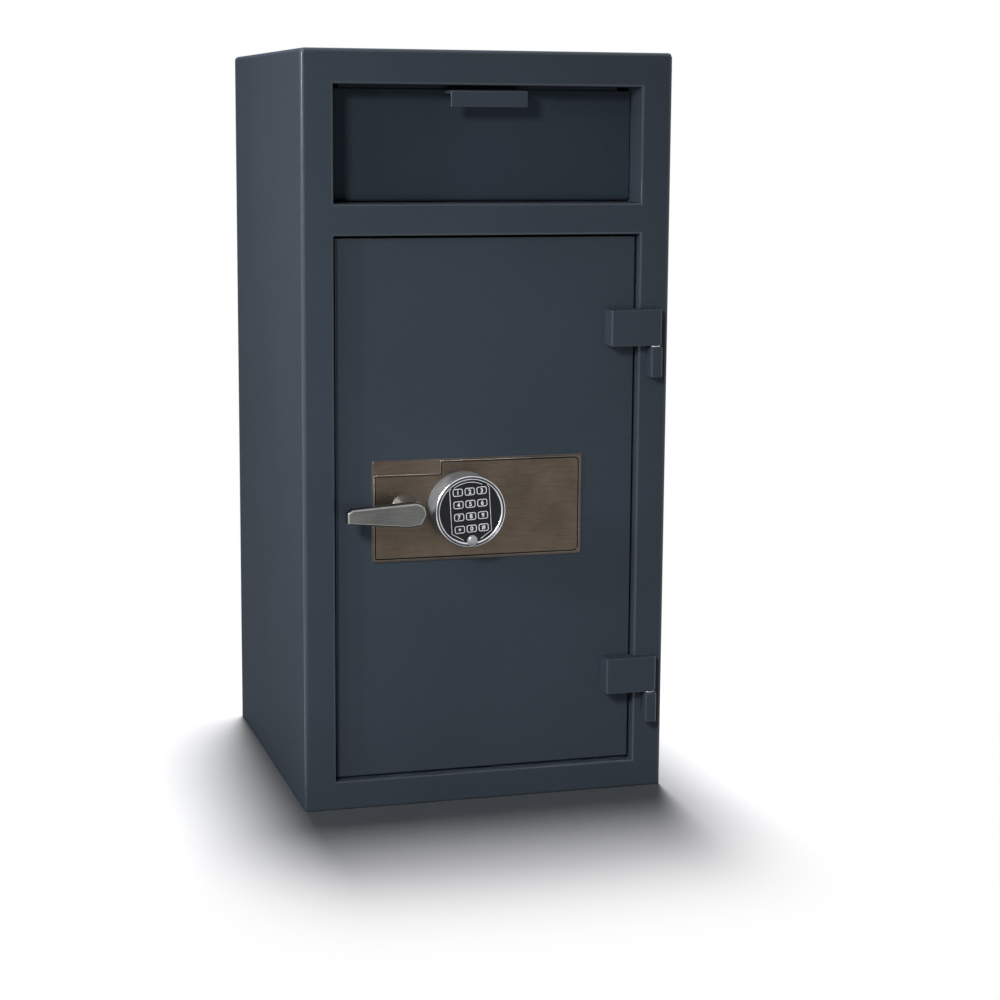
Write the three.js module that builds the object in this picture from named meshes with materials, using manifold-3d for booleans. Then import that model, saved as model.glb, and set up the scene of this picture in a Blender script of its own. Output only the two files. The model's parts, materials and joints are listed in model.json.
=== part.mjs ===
// Depository safe: a steel body, a tilt-out deposit hopper and a hinged door with a keypad lock.
// Millimetres, +Z up, front face towards -Y, origin at the centre of the footprint on the floor.
import * as THREE from "three";
import { mergeVertices } from "three/addons/utils/BufferGeometryUtils.js";
import Module from "manifold-3d";

const wasm = await Module();
wasm.setup();

// Body shell
const bodyWidth = 508;
const bodyDepth = 508;
const bodyHeight = 1016;
const bodySheet = 6.35;
const topBend = 6;
const anchorHoleDiameter = 14;
const anchorInset = 84;

// Front frame and the flanges that line its two openings
const frameThickness = 9.5;
const frameEdgeRound = 4.5;
const openingEdgeRound = 3;
const stileWidth = 42.6;
const topRailHeight = 45.6;
const crossRailHeight = 42.3;
const bottomRailHeight = 39.3;
const hopperOpeningHeight = 153.9;
const flangeThickness = 6;
const flangeBehindStrip = 5.85;

// Clearances
const fitGap = 0.3;
const cutOverrun = 5;

// Door slab
const doorThickness = 12.7;
const doorRecess = 12;
const doorGap = 3;
const doorEdgeRound = 1.5;

// Hinges: a block on the door turns on a pin that stands in a knuckle on the frame
const knuckleWidth = 16;
const knuckleDepth = 21;
const knuckleHeight = 41;
const knuckleEdge = 1.2;
const knuckleInset = 15;
const hingeBlockWidth = 72.5;
const hingeBlockHeight = 49;
const hingeBlockProud = 17;
const hingeBlockEdge = 1.5;
const hingeBlockShoulder = 1;
const hingeSwingGap = 0.8;
const upperHingeDrop = 150.2;
const lowerHingeRise = 101.2;
const hingePinDiameter = 8;
const hingePinInBlock = 36;
const hingeWasherThickness = 1.7;
const hingeWasherDiameter = 15;

// Lock plate on the door
const lockRise = 2.25;
const plateLeftOfLever = 46.3;
const plateFromRight = 118.4;
const plateDrop = 73;
const plateHeight = 139.3;
const plateThickness = 1.2;
const plateCorner = 3.5;

// Lever handle, its rose and spindle
const leverReach = 90.5;
const leverHubRadius = 16;
const leverThickness = 19;
const leverProud = 44;
const leverChamfer = 1.6;
const leverTipRise = 10.5;
const leverTipDrop = 8.5;
const leverTipNick = 6.5;
const leverTipCut = 4.2;
const leverHeel = 9;
const leverHeelRise = 2;
const leverSocketDepth = 12;
const spindleDiameter = 16;
const roseDiameter = 40;
const roseNeckDiameter = 25;
const roseRim = 3;

// Keypad
const keypadProud = 34;
const keypadWall = 6;
const keypadEdgeRound = 1.6;
const keypadDishWidth = 2.6;
const keypadDishDepth = 0.7;
const keypadFoot = 1;
const keypadTurn = 3.5;
const keypadFaceRecess = 1.5;
const keypadFaceThickness = 5;
const keypadFaceMargin = 1.87;
const keyWidth = 14.2;
const keyHeight = 10.6;
const keyCorner = 3;
const keyEdge = 0.6;
const keyProud = 1;
const keyFlange = 0.8;
const keyFlangeThickness = 1.1;
const keyTravel = 1.2;
const keyGapAcross = 2.3;
const keyGapDown = 6.2;
const keyGridRise = 2.2;
const bossDiameter = 14.4;
const bossInset = 2.7;
const bossProud = 0.8;
const bossDome = 1.4;
const bossCollar = 1.5;
const bossCollarDrop = 0.4;
const leadDiameter = 5;
const leadHoleDiameter = 8;

// Lock behind the keypad
const lockCaseWidth = 61;
const lockCaseHeight = 83;
const lockCaseThickness = 32;
const lockBoltWidth = 20;
const lockBoltThickness = 12;
const lockBoltThrow = 9;
const lockBoltNose = 3.55;
const lockBoltNoseGap = 0.45;

// Handle cam and bolt bar
const handleTravel = 80;
const boltThrow = 24;
const camGap = 5.3;
const camThickness = 6;
const camHubRadius = 24;
const camRimWall = 7;
const camPinRadius = 28;
const camSnailRadius = 44.5;
const camSnailMargin = 20;
const followerDiameter = 10;
const followerEngagement = 5;
const followerInset = 15;
const barGap = 5;
const barSheet = 5;
const barBeyondFollower = 25;
const barFlangeSheet = 6;
const barFlangeWidth = 16;
const barEndGap = 36;
const boltDiameter = 22.2;
const boltLength = 37;
const boltTipChamfer = 2;
const boltFlangeGap = 1.9;
const endBoltInset = 64;
const guideFromBarEnd = 98.5;
const guideShoulderDiameter = 18;
const guideNeckDiameter = 10;
const guideHeadThickness = 3;
const guideFromFlange = 10;
const deadBarWidth = 20;
const deadBarThickness = 7.5;
const deadBarEndGap = 50;

// Pan and cover that close the door's inside
const panSideGap = 12.4;
const panEndGap = 19.45;
const panBoltGap = 3.4;
const panSheet = 2.5;
const panRearFlange = 18;

// Deposit hopper
const hopperRecess = 46.5;
const hopperSheet = 6.35;
const hopperSideGap = 1.5;
const hopperTopGap = 5.4;
const hopperSillGap = 0.8;
const hopperBarrelDiameter = 14;
const hopperRodDiameter = 8;
const hopperTilt = 50;
const hopperPullWidth = 105;
const hopperPullReach = 40.5;
const hopperPullLip = 22;
const hopperPullSheet = 5;
const hopperPullDrop = 0.6;
const hopperPullRound = 3;
const trayRearLap = 22;
const traySheet = 2.5;
const traySlope = 25;
const trayBackFlange = 36;
const trayAboveBarrel = 2.7;
const cheekTopDrop = 2.7;

// Fixed parts round the hopper
const bracketSheet = 3;
const bracketSkirt = 7.5;
const stopStudDiameter = 8;
const stopStudLength = 15;
const stopStudFromEnd = 6.3;
const baffleSheet = 3;
const baffleInset = 3;
const baffleFromCheek = 4.5;
const baffleToothGap = 2.1;
const baffleToothPitch = 21.74;
const baffleToothDepth = 15;
const baffleTopFlange = 22;
const chuteSheet = 3;
const chuteInset = 12;
const chuteLap = 26;
const chuteRunOff = 4;
const stopStripSheet = 3;
const stopStripDrop = 14.4;
const stopStripInset = 17.4;

// Facets of a full turn
const coarseFacets = 24;
const fineFacets = 48;
const keyFacets = 12;
const cornerFacets = 5;
const rimFacets = 3;
const spiralFacets = 16;

// Planes and lines that pieces share, on the body and the door
const halfWidth = bodyWidth / 2;
const frontY = -bodyDepth / 2;
const backY = bodyDepth / 2;
const frameBackY = frontY + frameThickness;
const backPanelY = backY - bodySheet;
const ceiling = bodyHeight - bodySheet;
const openingHalf = halfWidth - stileWidth;
const hopperTop = bodyHeight - topRailHeight;
const hopperSill = hopperTop - hopperOpeningHeight;
const doorOpeningTop = hopperSill - crossRailHeight;
const doorHalf = openingHalf - doorGap;
const doorBottom = bottomRailHeight + doorGap;
const doorTop = doorOpeningTop - doorGap;
const doorFrontY = frontY + doorRecess;
const doorBackY = doorFrontY + doorThickness;
const plateFrontY = doorFrontY - plateThickness;
const lockHeight = (doorBottom + doorTop) / 2 + lockRise;
const pinX = halfWidth - knuckleInset - knuckleWidth / 2;
const pinY = frontY - knuckleDepth / 2;

// Inside the door, from its inner face to the back of the pan
const camFrontY = doorBackY + camGap;
const camBackY = camFrontY + camThickness;
const barFrontY = camBackY + barGap;
const barFlangeBackY = barFrontY + barFlangeWidth;
const boltY = (barFrontY + barFlangeBackY) / 2;
const doorFlangeBackY = boltY - boltDiameter / 2 - boltFlangeGap;
const panBackY = boltY + boltDiameter / 2 + panBoltGap + panSheet;
const panHalf = openingHalf - panSideGap;
const panFloor = doorBottom + panEndGap;
const panTop = doorTop - panEndGap;
const boltHeights = [panTop - endBoltInset, lockHeight, panFloor + endBoltInset];
const barBottom = panFloor + barEndGap;
const barTop = panTop - barEndGap;
const guideHeights = [barTop - guideFromBarEnd, barBottom + guideFromBarEnd];

// Across the door, from the bolts to the lever and on to the lock and the keypad over it
const boltTipX = -panHalf;
const barLeftX = boltTipX + boltLength;
const guideX = barLeftX + barFlangeSheet + guideFromFlange;
const followerX = barLeftX + barFlangeSheet + followerInset;
const barRightX = followerX + followerDiameter / 2 + barBeyondFollower;
const leverX = followerX + camPinRadius;
const lockBoltTipX = leverX + camSnailRadius + lockBoltNoseGap;
const keypadX = lockBoltTipX + lockBoltNose + lockCaseWidth / 2;
const leverFrontY = frontY - leverProud;
const leverBackY = leverFrontY + leverThickness;
const leverSocketY = leverBackY - leverSocketDepth;
const handleTravelAngle = THREE.MathUtils.degToRad(handleTravel);

// Hopper: the rod's axis, and heights and depths measured from it
const hopperBarrelRadius = hopperBarrelDiameter / 2;
const hopperAxisY = frontY + hopperRecess + hopperBarrelRadius;
const hopperAxisZ = hopperSill + hopperSillGap + hopperBarrelRadius;
const hopperHalf = openingHalf - hopperSideGap;
const panelFront = -hopperBarrelRadius;
const panelBack = panelFront + hopperSheet;
const panelTop = hopperTop - hopperTopGap - hopperAxisZ;
const cheekRadius = panelTop - cheekTopDrop;
const trayLength = cheekRadius + trayRearLap;
const trayBend = hopperBarrelRadius + trayAboveBarrel;
const slope = THREE.MathUtils.degToRad(traySlope);
const trayUnderside = panelBack * Math.sin(slope) + trayBend * Math.cos(slope);
const openTray = THREE.MathUtils.degToRad(hopperTilt) - slope;

// Fixed parts behind the hopper opening
const bracketInner = openingHalf + flangeThickness;
const stripFrontY = hopperAxisY + panelBack + fitGap;
const hopperFlangeBackY = stripFrontY + stopStripSheet + flangeBehindStrip;
const baffleFrontY = hopperAxisY + cheekRadius + baffleFromCheek;
const baffleBackY = baffleFrontY + baffleSheet;
const bracketBackY = baffleBackY + baffleInset;
const chuteBendY = hopperFlangeBackY + chuteRunOff;
const chuteBackY = bracketBackY - chuteInset;
const chuteTop = hopperSill - flangeThickness;

// Directions for profiles that are drawn flat and then pulled out along one axis
const right = new THREE.Vector3(1, 0, 0);
const back = new THREE.Vector3(0, 1, 0);
const up = new THREE.Vector3(0, 0, 1);
const forward = back.clone().negate();
const left = right.clone().negate();

// A closed geometry as a solid: shared corners are merged and collapsed triangles dropped.
function solidFrom(geometry) {
  const bare = new THREE.BufferGeometry();
  bare.setAttribute("position", geometry.getAttribute("position"));
  if (geometry.index) bare.setIndex(geometry.index);
  const merged = mergeVertices(bare);
  const corners = [];
  for (let i = 0; i < merged.index.count; i += 3) {
    const [a, b, c] = [0, 1, 2].map((k) => merged.index.getX(i + k));
    if (a !== b && b !== c && c !== a) corners.push(a, b, c);
  }
  const vertProperties = merged.getAttribute("position").array;
  return new wasm.Manifold(
    new wasm.Mesh({ numProp: 3, vertProperties, triVerts: new Uint32Array(corners) }),
  );
}

// A flat outline pulled out between two stations, whose end faces lie exactly on them.
function pulled(shape, from, to, basis, facets = coarseFacets) {
  const curveSegments = facets / 4;
  const options = { depth: 1, bevelEnabled: false, curveSegments };
  const geometry = new THREE.ExtrudeGeometry(shape, options);
  const position = geometry.getAttribute("position");
  for (let i = 0; i < position.count; i += 1) {
    position.setZ(i, position.getZ(i) === 0 ? from : to);
  }
  return solidFrom(geometry.applyMatrix4(basis));
}

const basisAlongX = new THREE.Matrix4().makeBasis(back, up, right);
const basisAlongY = new THREE.Matrix4().makeBasis(right, up, forward);
const basisAlongZ = new THREE.Matrix4();

// Profile in (Y, Z), pulled along X.
const alongX = (shape, from, to, facets) => pulled(shape, from, to, basisAlongX, facets);

// Profile in (X, Z), pulled from its front plane to its back plane.
const alongY = (shape, front, rear, facets) => pulled(shape, -rear, -front, basisAlongY, facets);

// Profile in (X, Y), pulled upwards.
const alongZ = (shape, from, to, facets) => pulled(shape, from, to, basisAlongZ, facets);

// A square-edged block between six planes.
function block(x0, x1, y0, y1, z0, z1) {
  const geometry = new THREE.BoxGeometry();
  const position = geometry.getAttribute("position");
  for (let i = 0; i < position.count; i += 1) {
    const x = position.getX(i) < 0 ? x0 : x1;
    const y = position.getY(i) < 0 ? y0 : y1;
    position.setXYZ(i, x, y, position.getZ(i) < 0 ? z0 : z1);
  }
  return solidFrom(geometry);
}

// A turned piece: [radius, station] pairs, with the stations running along the given direction.
function turned(profile, direction, facets = coarseFacets) {
  const points = profile.map(([radius, station]) => new THREE.Vector2(radius, station));
  const side = direction.z === 0 ? up : right;
  const basis = new THREE.Matrix4().makeBasis(side, direction, side.clone().cross(direction));
  return solidFrom(new THREE.LatheGeometry(points, facets).applyMatrix4(basis));
}

// A plain round bar between two stations on an axis through the given point.
function roundBar(radius, from, to, direction, [x, y, z], facets) {
  const profile = [[0, from], [radius, from], [radius, to], [0, to]];
  return turned(profile, direction, facets).translate([x, y, z]);
}

function rectangle(x0, x1, z0, z1) {
  const shape = new THREE.Shape();
  shape.moveTo(x0, z0);
  shape.lineTo(x1, z0);
  shape.lineTo(x1, z1);
  shape.lineTo(x0, z1);
  shape.closePath();
  return shape;
}

function roundedRectangle(x0, x1, z0, z1, radius) {
  const shape = new THREE.Shape();
  shape.moveTo(x0 + radius, z0);
  shape.lineTo(x1 - radius, z0);
  shape.absarc(x1 - radius, z0 + radius, radius, -Math.PI / 2, 0);
  shape.lineTo(x1, z1 - radius);
  shape.absarc(x1 - radius, z1 - radius, radius, 0, Math.PI / 2);
  shape.lineTo(x0 + radius, z1);
  shape.absarc(x0 + radius, z1 - radius, radius, Math.PI / 2, Math.PI);
  shape.lineTo(x0, z0 + radius);
  shape.absarc(x0 + radius, z0 + radius, radius, Math.PI, 1.5 * Math.PI);
  return shape;
}

function polygon(points) {
  return new THREE.Shape(points.map(([x, z]) => new THREE.Vector2(x, z)));
}

function circle(radius, x = 0, z = 0) {
  const shape = new THREE.Shape();
  shape.absarc(x, z, radius, 0, 2 * Math.PI);
  return shape;
}

// A plate between two planes whose front edges are rounded over, at its rim and at its holes.
function roundedFrontPlate(
  shape,
  front,
  rear,
  radius,
  facets = coarseFacets,
  bevelSegments = cornerFacets,
) {
  const options = {
    depth: rear - front,
    bevelThickness: radius,
    bevelSize: radius,
    bevelOffset: -radius,
    bevelSegments,
    curveSegments: facets / 4,
  };
  const geometry = new THREE.ExtrudeGeometry(shape, options).applyMatrix4(basisAlongY);
  const plate = solidFrom(geometry).translate([0, rear + radius, 0]);
  const wide = bodyWidth + bodyHeight;
  return plate.intersect(block(-wide, wide, front - cutOverrun, rear, -wide, wide));
}

// A plate whose front and rear edges are both cut off at 45 degrees.
function chamferedPlate(shape, front, rear, chamfer) {
  const options = {
    depth: rear - front - 2 * chamfer,
    bevelThickness: chamfer,
    bevelSize: chamfer,
    bevelOffset: -chamfer,
    bevelSegments: 1,
    curveSegments: coarseFacets / 4,
  };
  const geometry = new THREE.ExtrudeGeometry(shape, options).applyMatrix4(basisAlongY);
  return solidFrom(geometry).translate([0, rear - chamfer, 0]);
}

function finish(color, roughness, metalness) {
  return () => new THREE.MeshStandardMaterial({ color, roughness, metalness });
}

const slatePaint = finish(0x3b444f, 0.55, 0.1);
const innerPaint = finish(0x363c44, 0.6, 0.1);
const bronzePlate = finish(0x5a4e42, 0.35, 0.8);
const brightChrome = finish(0xc9ccd0, 0.12, 1);
const satinSteel = finish(0x9a9a98, 0.35, 0.9);
const zincSteel = finish(0xa7a9ab, 0.4, 0.85);
const blackPlastic = finish(0x15161a, 0.35, 0);
const keyRubber = finish(0x1b1c20, 0.6, 0);
const brassMetal = finish(0xb08d4a, 0.3, 0.9);
const leadSheath = finish(0x1d1d1f, 0.5, 0);

// A finished solid as a named mesh in its group.
function addPiece(group, name, solid, makeMaterial) {
  const made = solid.getMesh();
  const geometry = new THREE.BufferGeometry();
  geometry.setAttribute("position", new THREE.BufferAttribute(made.vertProperties, 3));
  geometry.setIndex(new THREE.BufferAttribute(made.triVerts, 1));
  const shown = geometry.toNonIndexed();
  shown.computeVertexNormals();
  const mesh = new THREE.Mesh(shown, makeMaterial());
  mesh.name = name;
  group.add(mesh);
  return mesh;
}

function addGroup(parent, x, y, z) {
  const group = new THREE.Group();
  group.position.set(x, y, z);
  parent.add(group);
  return group;
}

// The body's front view: square at the floor, bent round at the top corners.
function bodyOutline(footDrop) {
  const shape = new THREE.Shape();
  shape.moveTo(-halfWidth, -footDrop);
  shape.lineTo(halfWidth, -footDrop);
  shape.absarc(halfWidth - topBend, bodyHeight - topBend, topBend, 0, Math.PI / 2);
  shape.absarc(-halfWidth + topBend, bodyHeight - topBend, topBend, Math.PI / 2, Math.PI);
  shape.closePath();
  return shape;
}

// One sheet forms both sides and the top, open at the front, the back and the floor.
function makeWrapper() {
  const outside = alongY(bodyOutline(0), frameBackY, backPanelY);
  const inside = halfWidth - bodySheet;
  const [y0, y1] = [frameBackY - cutOverrun, backPanelY + cutOverrun];
  return outside.subtract(block(-inside, inside, y0, y1, -cutOverrun, ceiling));
}

// A four-sided flange that lines an opening, outside the opening's own edges.
function openingFlange(bottom, top, rear) {
  const rim = flangeThickness;
  const outer = rectangle(-openingHalf - rim, openingHalf + rim, bottom - rim, top + rim);
  outer.holes.push(rectangle(-openingHalf, openingHalf, bottom, top));
  return alongY(outer, frameBackY, rear);
}

function makeFrontFrame() {
  const face = roundedFrontPlate(bodyOutline(bodySheet), frontY, frameBackY, frameEdgeRound);
  const wide = halfWidth + bodySheet;
  const window = rectangle(-wide, wide, 0, bodyHeight + bodySheet);
  window.holes.push(rectangle(-openingHalf, openingHalf, bottomRailHeight, doorOpeningTop));
  window.holes.push(rectangle(-openingHalf, openingHalf, hopperSill, hopperTop));
  const openings = roundedFrontPlate(window, frontY, frameBackY, openingEdgeRound);
  const cutAtFloor = block(-wide, wide, frontY, frameBackY, 0, bodyHeight);
  const rodHole = roundBar(
    hopperRodDiameter / 2 + fitGap,
    -halfWidth,
    halfWidth,
    right,
    [0, hopperAxisY, hopperAxisZ],
  );
  return face
    .intersect(openings)
    .intersect(cutAtFloor)
    .add(openingFlange(bottomRailHeight, doorOpeningTop, doorFlangeBackY))
    .add(openingFlange(hopperSill, hopperTop, hopperFlangeBackY))
    .subtract(rodHole);
}

function makeFloorPlate() {
  const side = halfWidth - bodySheet;
  let floor = block(-side, side, frameBackY, backPanelY, 0, bodySheet);
  const across = halfWidth - anchorInset;
  for (const x of [-across, across]) {
    for (const y of [frontY + anchorInset, backY - anchorInset]) {
      const radius = anchorHoleDiameter / 2;
      const hole = roundBar(radius, -cutOverrun, bodySheet + cutOverrun, up, [x, y, 0]);
      floor = floor.subtract(hole);
    }
  }
  return floor;
}

// Everything below the block's underside: knuckle, washer and pin, measured from that underside.
const knuckleTop = -hingeWasherThickness - fitGap;
const knuckleBottom = knuckleTop - knuckleHeight;

function makeKnuckle() {
  const half = knuckleWidth / 2;
  const reach = knuckleDepth / 2;
  const plan = polygon([
    [-half, reach],
    [half, reach],
    [half, -reach + knuckleEdge],
    [half - knuckleEdge, -reach],
    [-half + knuckleEdge, -reach],
    [-half, -reach + knuckleEdge],
  ]);
  plan.holes.push(circle(hingePinDiameter / 2 + fitGap));
  return alongZ(plan, knuckleBottom, knuckleTop, coarseFacets);
}

function makeHingeWasher() {
  const ring = circle(hingeWasherDiameter / 2);
  ring.holes.push(circle(hingePinDiameter / 2 + fitGap));
  return alongZ(ring, knuckleTop, knuckleTop + hingeWasherThickness, coarseFacets);
}

// The block's back corner is rounded about the pin, so that it passes the frame as it turns.
function makeHingeBlock() {
  const rightEdge = knuckleWidth / 2;
  const leftEdge = rightEdge - hingeBlockWidth;
  const frontEdge = knuckleDepth / 2 - hingeBlockProud;
  const swing = knuckleDepth / 2 - hingeSwingGap;
  const padEdge = doorHalf - hingeBlockShoulder - pinX;
  const doorFace = doorFrontY - pinY;
  const plan = new THREE.Shape();
  plan.moveTo(leftEdge, doorFace);
  plan.lineTo(padEdge, doorFace);
  plan.lineTo(padEdge, swing);
  plan.lineTo(0, swing);
  plan.absarc(0, 0, swing, Math.PI / 2, Math.acos(rightEdge / swing), true);
  plan.lineTo(rightEdge, frontEdge + hingeBlockEdge);
  plan.lineTo(rightEdge - hingeBlockEdge, frontEdge);
  plan.lineTo(leftEdge + hingeBlockEdge, frontEdge);
  plan.lineTo(leftEdge, frontEdge + hingeBlockEdge);
  plan.closePath();
  const bore = roundBar(
    hingePinDiameter / 2 + fitGap,
    -cutOverrun,
    hingePinInBlock + fitGap,
    up,
    [0, 0, 0],
  );
  return alongZ(plan, 0, hingeBlockHeight).subtract(bore);
}

function makeHingePin() {
  return roundBar(hingePinDiameter / 2, knuckleBottom, hingePinInBlock, up, [0, 0, 0]);
}

// How far the chute has fallen at a given depth behind its bend.
const chuteFall = (y) => (y - chuteBendY) * Math.tan(slope);

// Side plate behind the hopper opening: it hangs from the top sheet and carries the rod and chute.
function makeBracket(side) {
  const foot = chuteTop - chuteSheet - bracketSkirt;
  const outline = polygon([
    [frameBackY, foot],
    [chuteBendY, foot],
    [bracketBackY, foot - chuteFall(bracketBackY)],
    [bracketBackY, ceiling],
    [frameBackY, ceiling],
  ]);
  const [inner, outer] = [side * bracketInner, side * (bracketInner + bracketSheet)];
  const plate = alongX(outline, Math.min(inner, outer), Math.max(inner, outer));
  const axle = [0, hopperAxisY, hopperAxisZ];
  const rodHole = roundBar(hopperRodDiameter / 2 + fitGap, -halfWidth, halfWidth, right, axle);
  const tip = side * (bracketInner - stopStudLength);
  const [from, to] = [Math.min(tip, outer), Math.max(tip, outer)];
  const stud = roundBar(stopStudDiameter / 2, from, to, right, stopStudPlace());
  return plate.subtract(rodHole).add(stud);
}

// The stop stud lies on the tray's floor, near its rear end, when the hopper is tipped fully out.
function stopStudPlace() {
  const stand = trayUnderside + traySheet + fitGap + stopStudDiameter / 2;
  const run = trayLength - traySheet - stopStudFromEnd;
  const y = run * Math.cos(openTray) - stand * Math.sin(openTray);
  const z = run * Math.sin(openTray) + stand * Math.cos(openTray);
  return [0, hopperAxisY + y, hopperAxisZ + z];
}

// Height of the tray's rear end above the rod when the hopper is tipped fully out.
function openTrayEndRise() {
  const bendRun = panelBack * Math.cos(slope) - trayBend * Math.sin(slope);
  const top = trayUnderside + traySheet;
  return (bendRun + trayLength) * Math.sin(openTray) + top * Math.cos(openTray);
}

// Hanging plate with a toothed lower edge, so that nothing can be fished back out of the safe.
function makeBaffle() {
  const bottom = hopperAxisZ + openTrayEndRise() + baffleToothGap;
  const teeth = Math.round((2 * bracketInner) / baffleToothPitch);
  const pitch = (2 * bracketInner) / teeth;
  const outline = [[bracketInner, ceiling], [-bracketInner, ceiling]];
  outline.push([-bracketInner, bottom + baffleToothDepth]);
  for (let i = 0; i < teeth; i += 1) {
    const root = -bracketInner + i * pitch;
    outline.push([root + pitch / 2, bottom]);
    outline.push([root + pitch, bottom + baffleToothDepth]);
  }
  const plate = alongY(polygon(outline), baffleFrontY, baffleBackY);
  const [x, y] = [bracketInner, baffleBackY - baffleTopFlange];
  return plate.add(block(-x, x, y, baffleBackY, ceiling - baffleSheet, ceiling));
}

// Sloping plate under the tray: its front edge laps under the sill flange.
function makeChute() {
  const fall = chuteFall(chuteBackY);
  const profile = polygon([
    [chuteBendY - chuteLap, chuteTop],
    [chuteBendY, chuteTop],
    [chuteBackY, chuteTop - fall],
    [chuteBackY, chuteTop - fall - chuteSheet],
    [chuteBendY, chuteTop - chuteSheet],
    [chuteBendY - chuteLap, chuteTop - chuteSheet],
  ]);
  return alongX(profile, -bracketInner, bracketInner);
}

// Strip under the top flange: the closed hopper rests against it.
function makeStopStrip() {
  const reach = openingHalf - stopStripInset;
  const bottom = hopperTop - stopStripDrop;
  return block(-reach, reach, stripFrontY, stripFrontY + stopStripSheet, bottom, hopperTop);
}

function makeHopperRod() {
  const reach = bracketInner + bracketSheet + fitGap;
  return roundBar(hopperRodDiameter / 2, -reach, reach, right, [0, hopperAxisY, hopperAxisZ]);
}

// The hopper's pieces are drawn in (Y, Z) about the rod's axis.
function makeHopperPanel() {
  const meet = Math.sqrt(hopperBarrelRadius ** 2 - panelBack ** 2);
  const profile = new THREE.Shape();
  profile.moveTo(panelFront, 0);
  profile.lineTo(panelFront, panelTop);
  profile.lineTo(panelBack, panelTop);
  profile.lineTo(panelBack, meet);
  profile.absarc(0, 0, hopperBarrelRadius, Math.atan2(meet, panelBack), -Math.PI, true);
  profile.holes.push(circle(hopperRodDiameter / 2 + fitGap));
  return alongX(profile, -hopperHalf, hopperHalf, fineFacets);
}

// Folded grip: a flat ledge from the panel with a lip that hangs down at its front.
function makeHopperPull() {
  const front = panelFront - hopperPullReach;
  const top = panelTop - hopperPullDrop;
  const [round, sheet] = [hopperPullRound, hopperPullSheet];
  const profile = new THREE.Shape();
  profile.moveTo(panelFront, top);
  profile.lineTo(front + round, top);
  profile.absarc(front + round, top - round, round, Math.PI / 2, Math.PI);
  profile.lineTo(front, top - hopperPullLip);
  profile.lineTo(front + sheet, top - hopperPullLip);
  profile.lineTo(front + sheet, top - sheet);
  profile.lineTo(panelFront, top - sheet);
  profile.closePath();
  return alongX(profile, -hopperPullWidth / 2, hopperPullWidth / 2);
}

// Tray: a flange up the panel's back, then a floor that slopes down to the rear.
function makeHopperTray() {
  const run = trayLength * Math.cos(slope);
  const fall = trayLength * Math.sin(slope);
  const [acrossEnd, upEnd] = [traySheet * Math.sin(slope), traySheet * Math.cos(slope)];
  const innerBend = trayBend + traySheet / Math.cos(slope) - traySheet * Math.tan(slope);
  const profile = polygon([
    [panelBack, trayBend],
    [panelBack + run, trayBend - fall],
    [panelBack + run + acrossEnd, trayBend - fall + upEnd],
    [panelBack + traySheet, innerBend],
    [panelBack + traySheet, trayBend + trayBackFlange],
    [panelBack, trayBend + trayBackFlange],
  ]);
  const half = hopperHalf - traySheet;
  return alongX(profile, -half, half);
}

// Cheek: a sector that closes the side of the pocket between the panel and the tray.
function makeHopperCheek(side) {
  const lowAngle = Math.asin(trayUnderside / cheekRadius) - slope;
  const outline = new THREE.Shape();
  outline.moveTo(panelBack, trayBend);
  outline.lineTo(cheekRadius * Math.cos(lowAngle), cheekRadius * Math.sin(lowAngle));
  outline.absarc(0, 0, cheekRadius, lowAngle, Math.PI / 2);
  outline.lineTo(panelBack, cheekRadius);
  outline.closePath();
  const [inner, outer] = [side * (hopperHalf - traySheet), side * hopperHalf];
  return alongX(outline, Math.min(inner, outer), Math.max(inner, outer), fineFacets);
}

function makeDoorSlab() {
  const outline = rectangle(-doorHalf, doorHalf, doorBottom, doorTop);
  const slab = roundedFrontPlate(outline, doorFrontY, doorBackY, doorEdgeRound);
  return slab.subtract(spindleHole()).subtract(leadHole());
}

function spindleHole() {
  const hole = circle(spindleDiameter / 2 + fitGap, leverX, lockHeight);
  return alongY(hole, frontY, backY);
}

function leadHole() {
  const hole = circle(leadHoleDiameter / 2, keypadX, lockHeight);
  return alongY(hole, frontY, backY);
}

function makeLockPlate() {
  const bottom = lockHeight - plateDrop;
  const outline = roundedRectangle(
    leverX - plateLeftOfLever,
    halfWidth - plateFromRight,
    bottom,
    bottom + plateHeight,
    plateCorner,
  );
  return alongY(outline, plateFrontY, doorFrontY).subtract(spindleHole()).subtract(leadHole());
}

// Pan welded to the door's inner face, with bolt holes in its left side and a rim for its cover.
function makeDoorPan() {
  const [bottom, top] = [panFloor, panTop];
  const walls = rectangle(-panHalf, panHalf, bottom, top);
  const inside = panSheet;
  walls.holes.push(
    rectangle(-panHalf + inside, panHalf - inside, bottom + inside, top - inside),
  );
  const rim = rectangle(-panHalf, panHalf, bottom, top);
  const flange = panRearFlange;
  rim.holes.push(
    rectangle(-panHalf + flange, panHalf - flange, bottom + flange, top - flange),
  );
  let pan = alongY(walls, doorBackY, panBackY).add(alongY(rim, panBackY - panSheet, panBackY));
  for (const z of boltHeights) {
    const [from, to] = [boltTipX - cutOverrun, boltTipX + cutOverrun];
    const hole = roundBar(boltDiameter / 2 + fitGap, from, to, right, [0, boltY, z]);
    pan = pan.subtract(hole);
  }
  return pan;
}

function makePanCover() {
  const outline = rectangle(-panHalf, panHalf, panFloor, panTop);
  return alongY(outline, panBackY, panBackY + panSheet);
}

// Fixed bar on the hinge side: it stays behind the frame if the hinges are cut off.
function makeDeadBar() {
  const [x0, x1] = [panHalf, panHalf + deadBarWidth];
  const [z0, z1] = [panFloor + deadBarEndGap, panTop - deadBarEndGap];
  return block(x0, x1, barFrontY, barFrontY + deadBarThickness, z0, z1);
}

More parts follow.
